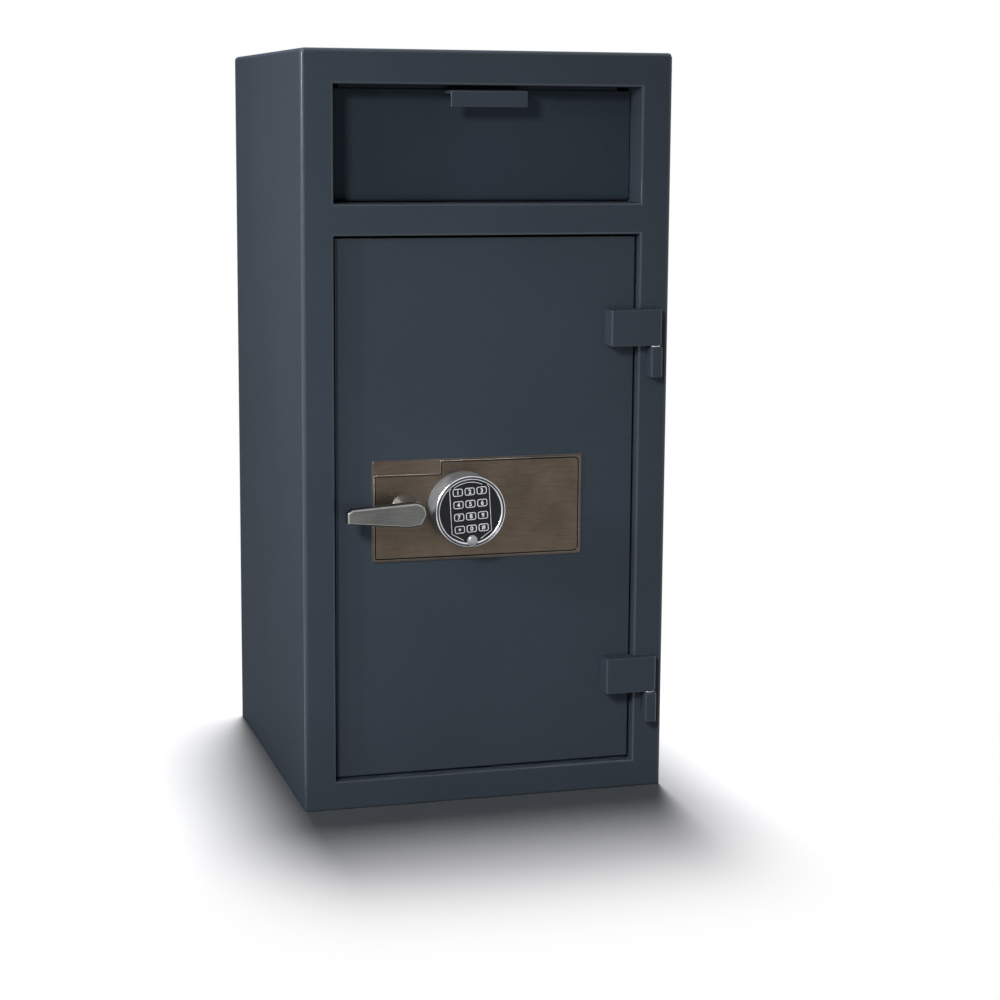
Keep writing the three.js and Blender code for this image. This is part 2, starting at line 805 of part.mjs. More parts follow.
// Shouldered stud that carries the bolt bar: the bar's slot slides on its neck, under its head.
function makeGuideStud(z) {
  const shoulder = guideShoulderDiameter / 2;
  const neck = guideNeckDiameter / 2;
  const neckFrom = barFrontY - fitGap - doorBackY;
  const neckTo = barFrontY + barSheet + fitGap - doorBackY;
  const profile = [
    [0, 0],
    [shoulder, 0],
    [shoulder, neckFrom],
    [neck, neckFrom],
    [neck, neckTo],
    [shoulder, neckTo],
    [shoulder, neckTo + guideHeadThickness],
    [0, neckTo + guideHeadThickness],
  ];
  return turned(profile, back).translate([guideX, doorBackY, z]);
}

// Angle bar: its flange carries the bolts, its web slides on the guide studs.
function makeBoltBar() {
  const x1 = barLeftX + barFlangeSheet;
  const [y0, y1] = [barFrontY, barFrontY + barSheet];
  let bar = block(barLeftX, x1, y0, barFlangeBackY, barBottom, barTop);
  bar = bar.add(block(barLeftX, barRightX, y0, y1, barBottom, barTop));
  const half = guideNeckDiameter / 2 + fitGap;
  for (const z of guideHeights) {
    const [from, to] = [guideX - half, guideX + boltThrow + half];
    const slot = roundedRectangle(from, to, z - half, z + half, half);
    bar = bar.subtract(alongY(slot, y0 - cutOverrun, y1 + fitGap));
  }
  return bar;
}

function makeLockingBolt(z) {
  const radius = boltDiameter / 2;
  const profile = [
    [0, 0],
    [radius, 0],
    [radius, boltLength - boltTipChamfer],
    [radius - boltTipChamfer, boltLength],
    [0, boltLength],
  ];
  return turned(profile, left, coarseFacets).translate([barLeftX, boltY, z]);
}

function makeFollowerPin() {
  const front = camBackY - followerEngagement;
  const radius = followerDiameter / 2;
  return roundBar(radius, front, barFrontY, back, [followerX, 0, lockHeight]);
}

// The cam slot is a spiral of constant pitch: equal turns of the handle move the bolts equally.
function spiralBand(halfBand) {
  const [outer, inner] = [[], []];
  const rate = boltThrow / handleTravelAngle;
  for (let i = 0; i <= spiralFacets; i += 1) {
    const turn = (i / spiralFacets) * handleTravelAngle;
    const angle = Math.PI - turn;
    const radius = camPinRadius + rate * turn;
    const centre = new THREE.Vector2(Math.cos(angle), Math.sin(angle));
    const tangent = new THREE.Vector2(
      rate * centre.x + radius * centre.y,
      rate * centre.y - radius * centre.x,
    ).normalize();
    const normal = new THREE.Vector2(-tangent.y, tangent.x).multiplyScalar(halfBand);
    centre.multiplyScalar(radius);
    outer.push(centre.clone().add(normal));
    inner.push(centre.clone().sub(normal));
  }
  const band = new THREE.Shape([...outer, ...inner.reverse()]);
  const start = [-camPinRadius, 0];
  const endAngle = Math.PI - handleTravelAngle;
  const endRadius = camPinRadius + boltThrow;
  const end = [endRadius * Math.cos(endAngle), endRadius * Math.sin(endAngle)];
  const [front, rear] = [camFrontY, camBackY];
  return alongY(band, front, rear)
    .add(alongY(circle(halfBand, ...start), front, rear))
    .add(alongY(circle(halfBand, ...end), front, rear));
}

// Snail edge on the lock side: it falls away as the bolts go out, and the lock bolt follows it.
function snailSector() {
  const rate = lockBoltThrow / handleTravelAngle;
  const margin = THREE.MathUtils.degToRad(camSnailMargin);
  const points = [[0, 0]];
  for (let i = 0; i <= spiralFacets; i += 1) {
    const share = i / spiralFacets;
    const angle = margin - share * (handleTravelAngle + 2 * margin);
    const radius = camSnailRadius + rate * angle;
    points.push([radius * Math.cos(angle), radius * Math.sin(angle)]);
  }
  return alongY(polygon(points), camFrontY, camBackY);
}

// Plate between the cam's hub and its slot.
function camWeb() {
  const rate = boltThrow / handleTravelAngle;
  const points = [[0, 0]];
  for (let i = 0; i <= spiralFacets; i += 1) {
    const turn = (i / spiralFacets) * handleTravelAngle;
    const radius = camPinRadius + rate * turn;
    points.push([radius * Math.cos(Math.PI - turn), radius * Math.sin(Math.PI - turn)]);
  }
  return alongY(polygon(points), camFrontY, camBackY);
}

function makeBoltCam() {
  const slotHalf = followerDiameter / 2 + fitGap;
  return alongY(circle(camHubRadius), camFrontY, camBackY, fineFacets)
    .add(spiralBand(slotHalf + camRimWall))
    .add(camWeb())
    .add(snailSector())
    .subtract(spiralBand(slotHalf))
    .subtract(alongY(circle(spindleDiameter / 2 + fitGap), frontY, backY));
}

// Lever: a bar that tapers from its round hub to a square tip with one corner taken off.
function makeLever() {
  const outline = new THREE.Shape();
  const [hub, tip] = [leverHubRadius, -leverReach];
  outline.moveTo(tip, -leverTipDrop);
  outline.lineTo(tip, leverTipRise - leverTipCut);
  outline.lineTo(tip + leverTipNick, leverTipRise);
  outline.lineTo(0, hub);
  outline.absarc(0, 0, hub, Math.PI / 2, 0, true);
  outline.lineTo(leverHeel, -hub + leverHeelRise);
  outline.lineTo(-leverHeel, -hub);
  outline.closePath();
  const lever = chamferedPlate(outline, leverFrontY, leverBackY, leverChamfer);
  const radius = spindleDiameter / 2 + fitGap;
  const [floor, mouth] = [leverSocketY - fitGap, leverBackY + cutOverrun];
  return lever.subtract(roundBar(radius, floor, mouth, back, [0, 0, 0]));
}

function makeSpindle() {
  const rear = camBackY + barGap / 2;
  return roundBar(spindleDiameter / 2, leverSocketY, rear, back, [0, 0, 0]);
}

// Rose: a flared collar between the plate and the lever.
function makeRose() {
  const height = plateFrontY - leverBackY - fitGap;
  const bore = spindleDiameter / 2 + fitGap;
  const [wide, narrow] = [roseDiameter / 2, roseNeckDiameter / 2];
  const profile = [[bore, 0], [wide, 0], [wide, roseRim]];
  for (let i = 1; i <= cornerFacets; i += 1) {
    const share = i / cornerFacets;
    const flare = (wide - roseRim - narrow) * (1 - share) ** 2;
    profile.push([narrow + flare, roseRim + share * (height - roseRim)]);
  }
  profile.push([bore, height], [bore, 0]);
  return turned(profile, forward, fineFacets).translate([leverX, plateFrontY, lockHeight]);
}

// The keypad's pieces are drawn about its own axis, with stations measured out from the plate.
// Its pocket leaves room for the keys to travel behind the face.
const keypadHeight = keypadProud + doorRecess - plateThickness;
const keyPitchAcross = keyWidth + keyGapAcross;
const keyPitchDown = keyHeight + keyGapDown;
const keyGridReach = Math.hypot(
  keyPitchAcross + keyWidth / 2,
  1.5 * keyPitchDown + keyGridRise + keyHeight / 2,
);
const keypadFaceRadius = keyGridReach + keypadFaceMargin;
const keypadRadius = keypadFaceRadius + fitGap + keypadWall;
const bossDrop = keypadFaceRadius - bossInset;
const keypadFaceFront = keypadHeight - keypadFaceRecess;
const keypadFaceBack = keypadFaceFront - keypadFaceThickness;
const keypadFloor = keypadFaceBack - keyFlangeThickness - keyTravel - 2 * fitGap;

// The bezel ends in two narrow rims with a shallow dished band between them.
function makeKeypadHousing() {
  const outer = keypadRadius;
  const inner = keypadRadius - keypadWall;
  const bore = leadHoleDiameter / 2;
  const round = keypadEdgeRound;
  const profile = [[bore, 0], [outer - keypadFoot, 0], [outer, keypadFoot]];
  for (let i = 0; i <= rimFacets; i += 1) {
    const turn = (i / rimFacets) * (Math.PI / 2);
    const station = keypadHeight - round + round * Math.sin(turn);
    profile.push([outer - round + round * Math.cos(turn), station]);
  }
  const dish = outer - round - keypadDishWidth / 2;
  profile.push([dish, keypadHeight - keypadDishDepth]);
  profile.push([dish - keypadDishWidth / 2, keypadHeight]);
  profile.push([inner + keypadFoot, keypadHeight], [inner, keypadHeight - keypadFoot]);
  profile.push([inner, keypadFloor], [bore, keypadFloor], [bore, 0]);
  return turned(profile, forward, fineFacets).subtract(bossSeat(fitGap));
}

// The boss stands in a round seat that bites into both the face and the bezel.
function bossSeat(gap) {
  const radius = bossDiameter / 2 + gap;
  const to = keypadHeight + cutOverrun;
  return roundBar(radius, keypadFloor, to, forward, [0, 0, -bossDrop], fineFacets);
}

// A domed button inside a lower collar.
function makeKeypadBoss() {
  const radius = bossDiameter / 2;
  const button = radius - bossCollar;
  const rim = keypadHeight + bossProud - bossDome;
  const collar = rim - bossCollarDrop;
  const profile = [[0, keypadFloor], [radius, keypadFloor], [radius, collar], [button, collar]];
  for (let i = 0; i <= rimFacets; i += 1) {
    const turn = (i / rimFacets) * (Math.PI / 2);
    profile.push([button * Math.cos(turn), rim + bossDome * Math.sin(turn)]);
  }
  profile[profile.length - 1][0] = 0;
  return turned(profile, forward, coarseFacets).translate([0, 0, -bossDrop]);
}

const keyRows = [
  ["key_1", "key_2", "key_3"],
  ["key_4", "key_5", "key_6"],
  ["key_7", "key_8", "key_9"],
  ["key_star", "key_0", "key_hash"],
];

function keyPlace(column, row) {
  const x = (column - 1) * keyPitchAcross;
  const z = keyGridRise + ((keyRows.length - 1) / 2 - row) * keyPitchDown;
  return [x, z];
}

function keyOutline(margin) {
  const [x, z] = [keyWidth / 2 + margin, keyHeight / 2 + margin];
  return roundedRectangle(-x, x, -z, z, keyCorner + margin);
}

function makeKeypadFace() {
  let face = alongY(circle(keypadFaceRadius), -keypadFaceFront, -keypadFaceBack, fineFacets);
  const [front, rear] = [-keypadFaceFront - cutOverrun, -keypadFaceBack + cutOverrun];
  const hole = alongY(keyOutline(fitGap), front, rear, keyFacets);
  keyRows.forEach((names, row) => {
    names.forEach((name, column) => {
      const [x, z] = keyPlace(column, row);
      face = face.subtract(hole.translate([x, 0, z]));
    });
  });
  return face.subtract(bossSeat(fitGap));
}

function makeKey() {
  const front = -keypadFaceFront - keyProud;
  const flangeFront = -keypadFaceBack + fitGap;
  const rear = flangeFront + keyFlangeThickness;
  const cap = roundedFrontPlate(keyOutline(0), front, flangeFront, keyEdge, keyFacets, 1);
  return cap.add(alongY(keyOutline(keyFlange), flangeFront, rear, keyFacets));
}

function makeLead() {
  const front = plateFrontY - keypadFloor;
  const rear = doorBackY - fitGap;
  return roundBar(leadDiameter / 2, front, rear, back, [keypadX, 0, lockHeight]);
}

// Lock case with a guide slot for the lock bolt, open towards the cam.
function makeLockCase() {
  const [x, z] = [lockCaseWidth / 2, lockCaseHeight / 2];
  const [front, rear] = [doorBackY, doorBackY + lockCaseThickness];
  const body = block(keypadX - x, keypadX + x, front, rear, lockHeight - z, lockHeight + z);
  const middle = (camFrontY + camBackY) / 2;
  const [wide, thick] = [lockBoltWidth / 2 + fitGap, lockBoltThickness / 2 + fitGap];
  const slot = block(
    keypadX - x - cutOverrun,
    keypadX + fitGap,
    middle - thick,
    middle + thick,
    lockHeight - wide,
    lockHeight + wide,
  );
  return body.subtract(slot);
}

function makeLockBolt() {
  const radius = lockBoltWidth / 2;
  const noseX = lockBoltTipX + radius;
  const outline = new THREE.Shape();
  outline.moveTo(keypadX, lockHeight - radius);
  outline.lineTo(keypadX, lockHeight + radius);
  outline.lineTo(noseX, lockHeight + radius);
  outline.absarc(noseX, lockHeight, radius, Math.PI / 2, 1.5 * Math.PI);
  outline.closePath();
  const middle = (camFrontY + camBackY) / 2;
  const [y0, y1] = [middle - lockBoltThickness / 2, middle + lockBoltThickness / 2];
  return alongY(outline, y0, y1, fineFacets);
}

const safe = new THREE.Group();

// Fixed body
const body = addGroup(safe, 0, 0, 0);
addPiece(body, "body_wrapper", makeWrapper(), slatePaint);
addPiece(body, "front_frame", makeFrontFrame(), slatePaint);
addPiece(body, "back_panel", alongY(bodyOutline(0), backPanelY, backY), slatePaint);
addPiece(body, "floor_plate", makeFloorPlate(), innerPaint);
addPiece(body, "hopper_bracket_left", makeBracket(-1), innerPaint);
addPiece(body, "hopper_bracket_right", makeBracket(1), innerPaint);
addPiece(body, "anti_fish_baffle", makeBaffle(), innerPaint);
addPiece(body, "deposit_chute", makeChute(), innerPaint);
addPiece(body, "hopper_stop_strip", makeStopStrip(), innerPaint);
addPiece(body, "hopper_rod", makeHopperRod(), zincSteel);

// Hinges, each about its own pin
const hingeHeights = {
  upper: doorOpeningTop - upperHingeDrop,
  lower: bottomRailHeight + lowerHingeRise,
};
for (const [place, height] of Object.entries(hingeHeights)) {
  const hinge = addGroup(safe, pinX, pinY, height);
  addPiece(hinge, `hinge_knuckle_${place}`, makeKnuckle(), slatePaint);
  addPiece(hinge, `hinge_washer_${place}`, makeHingeWasher(), zincSteel);
  addPiece(hinge, `hinge_pin_${place}`, makeHingePin(), zincSteel);
  addPiece(hinge, `hinge_block_${place}`, makeHingeBlock(), slatePaint);
}

// Tilting hopper, about its rod
const hopper = addGroup(safe, 0, hopperAxisY, hopperAxisZ);
addPiece(hopper, "hopper_panel", makeHopperPanel(), slatePaint);
addPiece(hopper, "hopper_pull", makeHopperPull(), slatePaint);
addPiece(hopper, "hopper_tray", makeHopperTray(), innerPaint);
addPiece(hopper, "hopper_cheek_left", makeHopperCheek(-1), innerPaint);
addPiece(hopper, "hopper_cheek_right", makeHopperCheek(1), innerPaint);

// Door and what is fixed to it
const door = addGroup(safe, 0, 0, 0);
addPiece(door, "door_slab", makeDoorSlab(), slatePaint);
addPiece(door, "lock_plate", makeLockPlate(), bronzePlate);
addPiece(door, "handle_rose", makeRose(), brightChrome);
addPiece(door, "door_pan", makeDoorPan(), innerPaint);
addPiece(door, "door_pan_cover", makePanCover(), innerPaint);
addPiece(door, "dead_bar", makeDeadBar(), zincSteel);
addPiece(door, "lock_case", makeLockCase(), zincSteel);
addPiece(door, "keypad_lead", makeLead(), leadSheath);
["upper", "lower"].forEach((place, i) => {
  addPiece(door, `bolt_guide_${place}`, makeGuideStud(guideHeights[i]), zincSteel);
});
addPiece(door, "lock_bolt", makeLockBolt(), brassMetal);

// Keypad, turned a little on the door as it was fitted
const keypad = addGroup(door, keypadX, plateFrontY, lockHeight);
keypad.rotation.y = -THREE.MathUtils.degToRad(keypadTurn);
addPiece(keypad, "keypad_housing", makeKeypadHousing(), brightChrome);
addPiece(keypad, "keypad_face", makeKeypadFace(), blackPlastic);
addPiece(keypad, "keypad_boss", makeKeypadBoss(), satinSteel);
keyRows.forEach((names, row) => {
  names.forEach((name, column) => {
    const [x, z] = keyPlace(column, row);
    addPiece(keypad, name, makeKey(), keyRubber).position.set(x, 0, z);
  });
});

// Handle with its spindle and cam, about the spindle
const handle = addGroup(door, leverX, 0, lockHeight);
addPiece(handle, "lever_handle", makeLever(), satinSteel);
addPiece(handle, "handle_spindle", makeSpindle(), zincSteel);
addPiece(handle, "bolt_cam", makeBoltCam(), zincSteel);

// Sliding boltwork
const boltwork = addGroup(door, 0, 0, 0);
addPiece(boltwork, "bolt_bar", makeBoltBar(), zincSteel);
addPiece(boltwork, "follower_pin", makeFollowerPin(), zincSteel);
["top", "middle", "bottom"].forEach((place, i) => {
  addPiece(boltwork, `locking_bolt_${place}`, makeLockingBolt(boltHeights[i]), brightChrome);
});

export default safe;
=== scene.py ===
import json
import math

import bmesh
import bpy
from mathutils import Matrix, Vector

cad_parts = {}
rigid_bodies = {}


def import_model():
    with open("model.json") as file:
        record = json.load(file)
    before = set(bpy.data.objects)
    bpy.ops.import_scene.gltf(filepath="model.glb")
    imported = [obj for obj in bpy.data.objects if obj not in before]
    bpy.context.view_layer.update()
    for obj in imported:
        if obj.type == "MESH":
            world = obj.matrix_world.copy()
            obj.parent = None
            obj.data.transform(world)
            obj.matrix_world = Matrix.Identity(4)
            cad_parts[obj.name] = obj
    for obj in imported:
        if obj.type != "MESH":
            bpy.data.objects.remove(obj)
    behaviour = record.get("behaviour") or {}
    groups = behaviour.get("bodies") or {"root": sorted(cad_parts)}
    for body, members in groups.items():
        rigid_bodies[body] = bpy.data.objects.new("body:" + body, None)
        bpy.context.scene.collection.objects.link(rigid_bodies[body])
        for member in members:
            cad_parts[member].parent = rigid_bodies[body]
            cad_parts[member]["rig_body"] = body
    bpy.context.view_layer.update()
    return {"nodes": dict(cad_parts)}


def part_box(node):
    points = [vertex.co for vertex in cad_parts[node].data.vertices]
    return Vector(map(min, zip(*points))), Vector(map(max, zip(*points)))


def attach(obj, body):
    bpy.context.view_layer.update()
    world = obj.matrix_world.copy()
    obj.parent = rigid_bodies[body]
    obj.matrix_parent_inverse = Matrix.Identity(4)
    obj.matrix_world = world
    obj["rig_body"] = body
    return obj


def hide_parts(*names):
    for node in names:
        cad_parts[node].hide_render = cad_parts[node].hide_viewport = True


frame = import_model()
solids = frame["nodes"]

# ---- Body shell -----------------------------------------------------------------------------
# The sides and top are one 6 mm steel sheet bent round at the top corners. A flat back and a
# floor plate with four anchor holes are welded in, and all of it is powder painted slate grey.


def from_srgb(red, green, blue):
    """A paint chip's 0-255 values as the linear colour that a shader takes."""
    def linear(value):
        value /= 255
        return value / 12.92 if value <= 0.04045 else ((value + 0.055) / 1.055) ** 2.4
    return (linear(red), linear(green), linear(blue), 1.0)


def scaled(colour, factor):
    """A darker or paler shade of a colour."""
    return tuple(c * factor for c in colour[:3]) + (1.0,)


def new_finish(name):
    """A plain finish, with its nodes, its links and its shader to build on."""
    finish = bpy.data.materials.new(name)
    finish.use_nodes = True
    nodes = finish.node_tree.nodes
    return finish, nodes, finish.node_tree.links, nodes["Principled BSDF"]


def noise_on_piece(nodes, links, scale, detail, stretch=(1, 1, 1), seed=0.0):
    """Noise fixed to the piece: scale is in cells per metre, and stretch draws it out."""
    place = nodes.new("ShaderNodeTexCoord")
    turn = nodes.new("ShaderNodeMapping")
    turn.inputs["Scale"].default_value = stretch
    turn.inputs["Location"].default_value = (seed, seed * 0.7, seed * 1.3)
    noise = nodes.new("ShaderNodeTexNoise")
    noise.inputs["Scale"].default_value = scale
    noise.inputs["Detail"].default_value = detail
    links.new(place.outputs["Object"], turn.inputs["Vector"])
    links.new(turn.outputs["Vector"], noise.inputs["Vector"])
    return noise.outputs["Fac"]


# Noise seldom leaves these two levels, so what it steers runs its whole range between them.
noise_low, noise_high = 0.3, 0.7


def shade_between(nodes, links, amount, low, high, start=noise_low, end=noise_high):
    """A colour that runs from one to another as the amount goes from start to end."""
    ramp = nodes.new("ShaderNodeValToRGB")
    ramp.color_ramp.elements[0].position, ramp.color_ramp.elements[0].color = start, low
    ramp.color_ramp.elements[1].position, ramp.color_ramp.elements[1].color = end, high
    links.new(amount, ramp.inputs["Fac"])
    return ramp.outputs["Color"]


def level_between(nodes, links, amount, low, high):
    """A number that runs from low to high as the noise does."""
    span = nodes.new("ShaderNodeMapRange")
    span.inputs["From Min"].default_value = noise_low
    span.inputs["From Max"].default_value = noise_high
    span.inputs["To Min"].default_value, span.inputs["To Max"].default_value = low, high
    links.new(amount, span.inputs["Value"])
    return span.outputs["Result"]


def relief(nodes, links, height, depth, strength, over=None):
    """Bump of the given depth in metres, laid over another bump when there is one."""
    bump = nodes.new("ShaderNodeBump")
    bump.inputs["Distance"].default_value = depth
    bump.inputs["Strength"].default_value = strength
    links.new(height, bump.inputs["Height"])
    if over:
        links.new(over, bump.inputs["Normal"])
    return bump.outputs["Normal"]


def powder_paint(name, colour, grain_scale=900, grain_depth=0.00016, rough=0.8, gloss=0.04):
    """Baked powder paint: a fine sandy skin, and a colour that drifts a little."""
    drift_scale, drift_share, rough_spread = 5, 0.05, 0.05
    grain_dark, grain_pale, grain_strength = (0.86, 0.86, 0.87, 1), (1.12, 1.12, 1.11, 1), 0.45
    skin_scale, skin_depth, skin_strength = grain_scale / 6, grain_depth * 1.5, 0.25
    finish, nodes, links, shader = new_finish(name)
    drift = noise_on_piece(nodes, links, drift_scale, detail=3)
    grain = noise_on_piece(nodes, links, grain_scale, detail=3, seed=2.0)
    skin = noise_on_piece(nodes, links, skin_scale, detail=2, seed=5.0)
    darker, paler = scaled(colour, 1 - drift_share), scaled(colour, 1 + drift_share)
    broad = shade_between(nodes, links, drift, darker, paler)
    fine = shade_between(nodes, links, grain, grain_dark, grain_pale)
    mix = nodes.new("ShaderNodeMix")
    mix.data_type, mix.blend_type = "RGBA", "MULTIPLY"
    mix.inputs["Factor"].default_value = 1.0
    links.new(broad, mix.inputs["A"])
    links.new(fine, mix.inputs["B"])
    links.new(mix.outputs["Result"], shader.inputs["Base Color"])
    gloss_change = level_between(nodes, links, skin, rough - rough_spread, rough + rough_spread)
    links.new(gloss_change, shader.inputs["Roughness"])
    shader.inputs["Specular IOR Level"].default_value = gloss
    under = relief(nodes, links, skin, skin_depth, skin_strength)
    upper = relief(nodes, links, grain, grain_depth, grain_strength, under)
    links.new(upper, shader.inputs["Normal"])
    return finish


slate = from_srgb(56, 64, 73)
slate_paint = powder_paint("slate_powder_paint", slate)
# The paint draws thin and glossy over an edge, which is why the arrises catch the light.
slate_edge = powder_paint(
    "slate_paint_on_edges", slate, grain_scale=700, grain_depth=0.0004, rough=0.2, gloss=0.3
)


def bake(piece):
    """Puts what the modifiers make into the piece's own mesh, and takes the modifiers off."""
    graph = bpy.context.evaluated_depsgraph_get()
    made = bpy.data.meshes.new_from_object(piece.evaluated_get(graph), depsgraph=graph)
    piece.modifiers.clear()
    piece.data = made
    made.name = piece.name
    return piece


def put_in_scene(name, content):
    """An object that holds a mesh, a text, a lamp or a lens, linked to the scene."""
    held = bpy.data.objects.new(name, content)
    bpy.context.scene.collection.objects.link(held)
    return held


def shade(piece, limit):
    """Smooth up to a limit in degrees and crisp over sharper edges, with flat faces kept flat."""
    flat_face_weight = 80
    mesh = piece.data
    mesh.shade_smooth()
    mesh.set_sharp_from_angle(angle=math.radians(limit))
    weigh = piece.modifiers.new("weigh", "WEIGHTED_NORMAL")
    weigh.keep_sharp = True
    weigh.weight = flat_face_weight
    return bake(piece)


def fit(piece, body):
    """Lets a piece move with a body."""
    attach(piece, body)
    return piece


def dress(node, name, finish, slot, ease=0.0, steps=2, crisp=None, edge_finish=None):
    """A copy of a solid in its finish, with its corners merged and its sharp edges eased.

    Ease is the width of the rounding in metres, in so many steps. Edges sharper than crisp, in
    degrees, keep a hard line.
    """
    weld_distance, flat_angle, sharp_angle, eased_angle = 0.000004, 0.4, 32, 55
    least_tilt, least_forward = 0.99, 0.1
    solid = solids[node]
    mesh = solid.data.copy()
    mesh.materials.clear()
    mesh.materials.append(finish)
    mesh.materials.append(edge_finish or (slate_edge if slot == "slate_paint" else finish))
    for layer in ("custom_normal", "sharp_face", "sharp_edge", "material_index"):
        if layer in mesh.attributes:
            mesh.attributes.remove(mesh.attributes[layer])
    work = bmesh.new()
    work.from_mesh(mesh)
    bmesh.ops.remove_doubles(work, verts=work.verts, dist=weld_distance)
    bmesh.ops.dissolve_limit(
        work, angle_limit=math.radians(flat_angle), verts=work.verts, edges=work.edges
    )
    work.to_mesh(mesh)
    work.free()
    # Rounded and slanting faces that look forward take the finish of the edges: a glossier paint
    # on painted pieces, and on the lock plate and the lever a paler metal, as painted highlight.
    for face in mesh.polygons:
        slanting = max(abs(n) for n in face.normal) < least_tilt
        face.material_index = 1 if slanting and face.normal.y < -least_forward else 0
    piece = put_in_scene(name, mesh)
    if ease:
        rim = piece.modifiers.new("rim", "BEVEL")
        rim.width, rim.segments, rim.material = ease, steps, 1
        rim.limit_method, rim.angle_limit = "ANGLE", math.radians(sharp_angle)
        rim.miter_outer = "MITER_ARC"
        bake(piece)
    shade(piece, crisp or (eased_angle if ease else sharp_angle))
    fit(piece, solid["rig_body"])
    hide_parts(node)
    return piece


dress("body_wrapper", "shell_sheet", slate_paint, "slate_paint")
dress("back_panel", "shell_back", slate_paint, "slate_paint", ease=0.0012)
dress("floor_plate", "shell_floor", slate_paint, "slate_paint")

# ---- Front frame ----------------------------------------------------------------------------
# A flat 9.5 mm plate with two windows, the hopper's and the door's. Its outer edge and both
# windows are ground round, and a flange lines each window behind the plate.

dress("front_frame", "front_plate", slate_paint, "slate_paint", crisp=38)

# ---- Fixed parts behind the hopper ----------------------------------------------------------
# Side plates, a toothed plate that stops fishing, a sloping chute and a stop strip, all bent or
# cut from 3 mm sheet, welded in before painting. The hopper turns on a plain zinc plated rod.

inner_paint = powder_paint(
    "inner_powder_paint", from_srgb(50, 56, 64), grain_depth=0.00018, rough=0.75, gloss=0.08
)


def plated_steel(name, dark, light, smoothest, roughest):
    """Plated metal: a faint cloudy bloom, and fine upright marks from drawing or turning."""
    bloom_scale, mark_scale, mark_stretch = 60, 900, (1, 1, 0.15)
    mark_depth, mark_strength = 0.00005, 0.3
    finish, nodes, links, shader = new_finish(name)
    bloom = noise_on_piece(nodes, links, bloom_scale, detail=4, seed=3.0)
    marks = noise_on_piece(nodes, links, mark_scale, detail=2, stretch=mark_stretch, seed=1.0)
    links.new(shade_between(nodes, links, bloom, dark, light), shader.inputs["Base Color"])
    roughness = level_between(nodes, links, bloom, smoothest, roughest)
    links.new(roughness, shader.inputs["Roughness"])
    shader.inputs["Metallic"].default_value = 1.0
    bump = relief(nodes, links, marks, mark_depth, mark_strength)
    links.new(bump, shader.inputs["Normal"])
    return finish


zinc_plate = plated_steel(
    "zinc_plate", from_srgb(118, 120, 123), from_srgb(160, 162, 165),
    smoothest=0.32, roughest=0.46,
)
sheet_ease = 0.0005

dress(
    "hopper_bracket_left", "hopper_side_left", inner_paint, "inner_paint",
    ease=sheet_ease, steps=1,
)
dress(
    "hopper_bracket_right", "hopper_side_right", inner_paint, "inner_paint",
    ease=sheet_ease, steps=1,
)
dress("anti_fish_baffle", "fishing_guard", inner_paint, "inner_paint")
dress("deposit_chute", "drop_chute", inner_paint, "inner_paint", ease=sheet_ease, steps=1)
dress("hopper_stop_strip", "hopper_stop", inner_paint, "inner_paint", ease=sheet_ease, steps=1)
dress("hopper_rod", "hopper_rod_bar", zinc_plate, "zinc_steel", ease=0.0006)

# ---- Deposit hopper -------------------------------------------------------------------------
# A thick front panel rolled round the rod at its foot, with a folded pull welded near its top.
# Behind it a bent tray and two sector cheeks, spot welded on, make the pocket for the deposit.

# The hopper's front is a darker slate than the frame, as painted shade for its recess.
hopper_paint_painted_shade = powder_paint("hopper_powder_paint", from_srgb(47, 56, 65))
cheek_ease = 0.0004

dress("hopper_panel", "hopper_front", hopper_paint_painted_shade, "slate_paint", ease=0.0009, crisp=35)
dress("hopper_pull", "hopper_grip", slate_paint, "slate_paint", ease=0.0008)
dress("hopper_tray", "hopper_pocket_floor", inner_paint, "inner_paint", ease=sheet_ease, steps=1)
for side in ("left", "right"):
    dress(
        f"hopper_cheek_{side}", f"hopper_cheek_sheet_{side}", inner_paint, "inner_paint",
        ease=cheek_ease, steps=1,
    )

# ---- Hinges ---------------------------------------------------------------------------------
# Each hinge is a solid steel block welded to the door, bored for a pin that stands in a square
# knuckle welded to the frame. A bright washer keeps block and knuckle apart.

bright_washer = plated_steel(
    "bright_washer", from_srgb(170, 172, 175), from_srgb(205, 206, 208),
    smoothest=0.2, roughest=0.3,
)

for level in ("upper", "lower"):
    dress(
        f"hinge_knuckle_{level}", f"knuckle_{level}", slate_paint, "slate_paint", ease=0.0008
    )
    dress(f"hinge_washer_{level}", f"washer_{level}", bright_washer, "zinc_steel", ease=0.0003)
    dress(f"hinge_pin_{level}", f"pin_{level}", zinc_plate, "zinc_steel", ease=0.0004)
    dress(
        f"hinge_block_{level}", f"door_hinge_{level}", slate_paint, "slate_paint",
        ease=0.0009, crisp=40,
    )

# ---- Door slab ------------------------------------------------------------------------------
# A plain 12.7 mm steel plate, cut to leave a 3 mm gap all round and set back in the frame. It
# is drilled for the lever's spindle and for the keypad's lead.

dress("door_slab", "door_plate", slate_paint, "slate_paint", crisp=38)

# ---- Lock plate -----------------------------------------------------------------------------
# A thin bronze coloured cover plate behind the lever and keypad, brushed from side to side. Its
# edge is rolled, and the rolled rim and a fine bead inside it are a paler bronze as painted
# highlight. A fine groove pressed just inside the rim is drawn as a flat near black line, as
# painted shade.

lever_x, keypad_x, lock_height = -0.113, -0.034, 0.409
plate_front = -0.2432


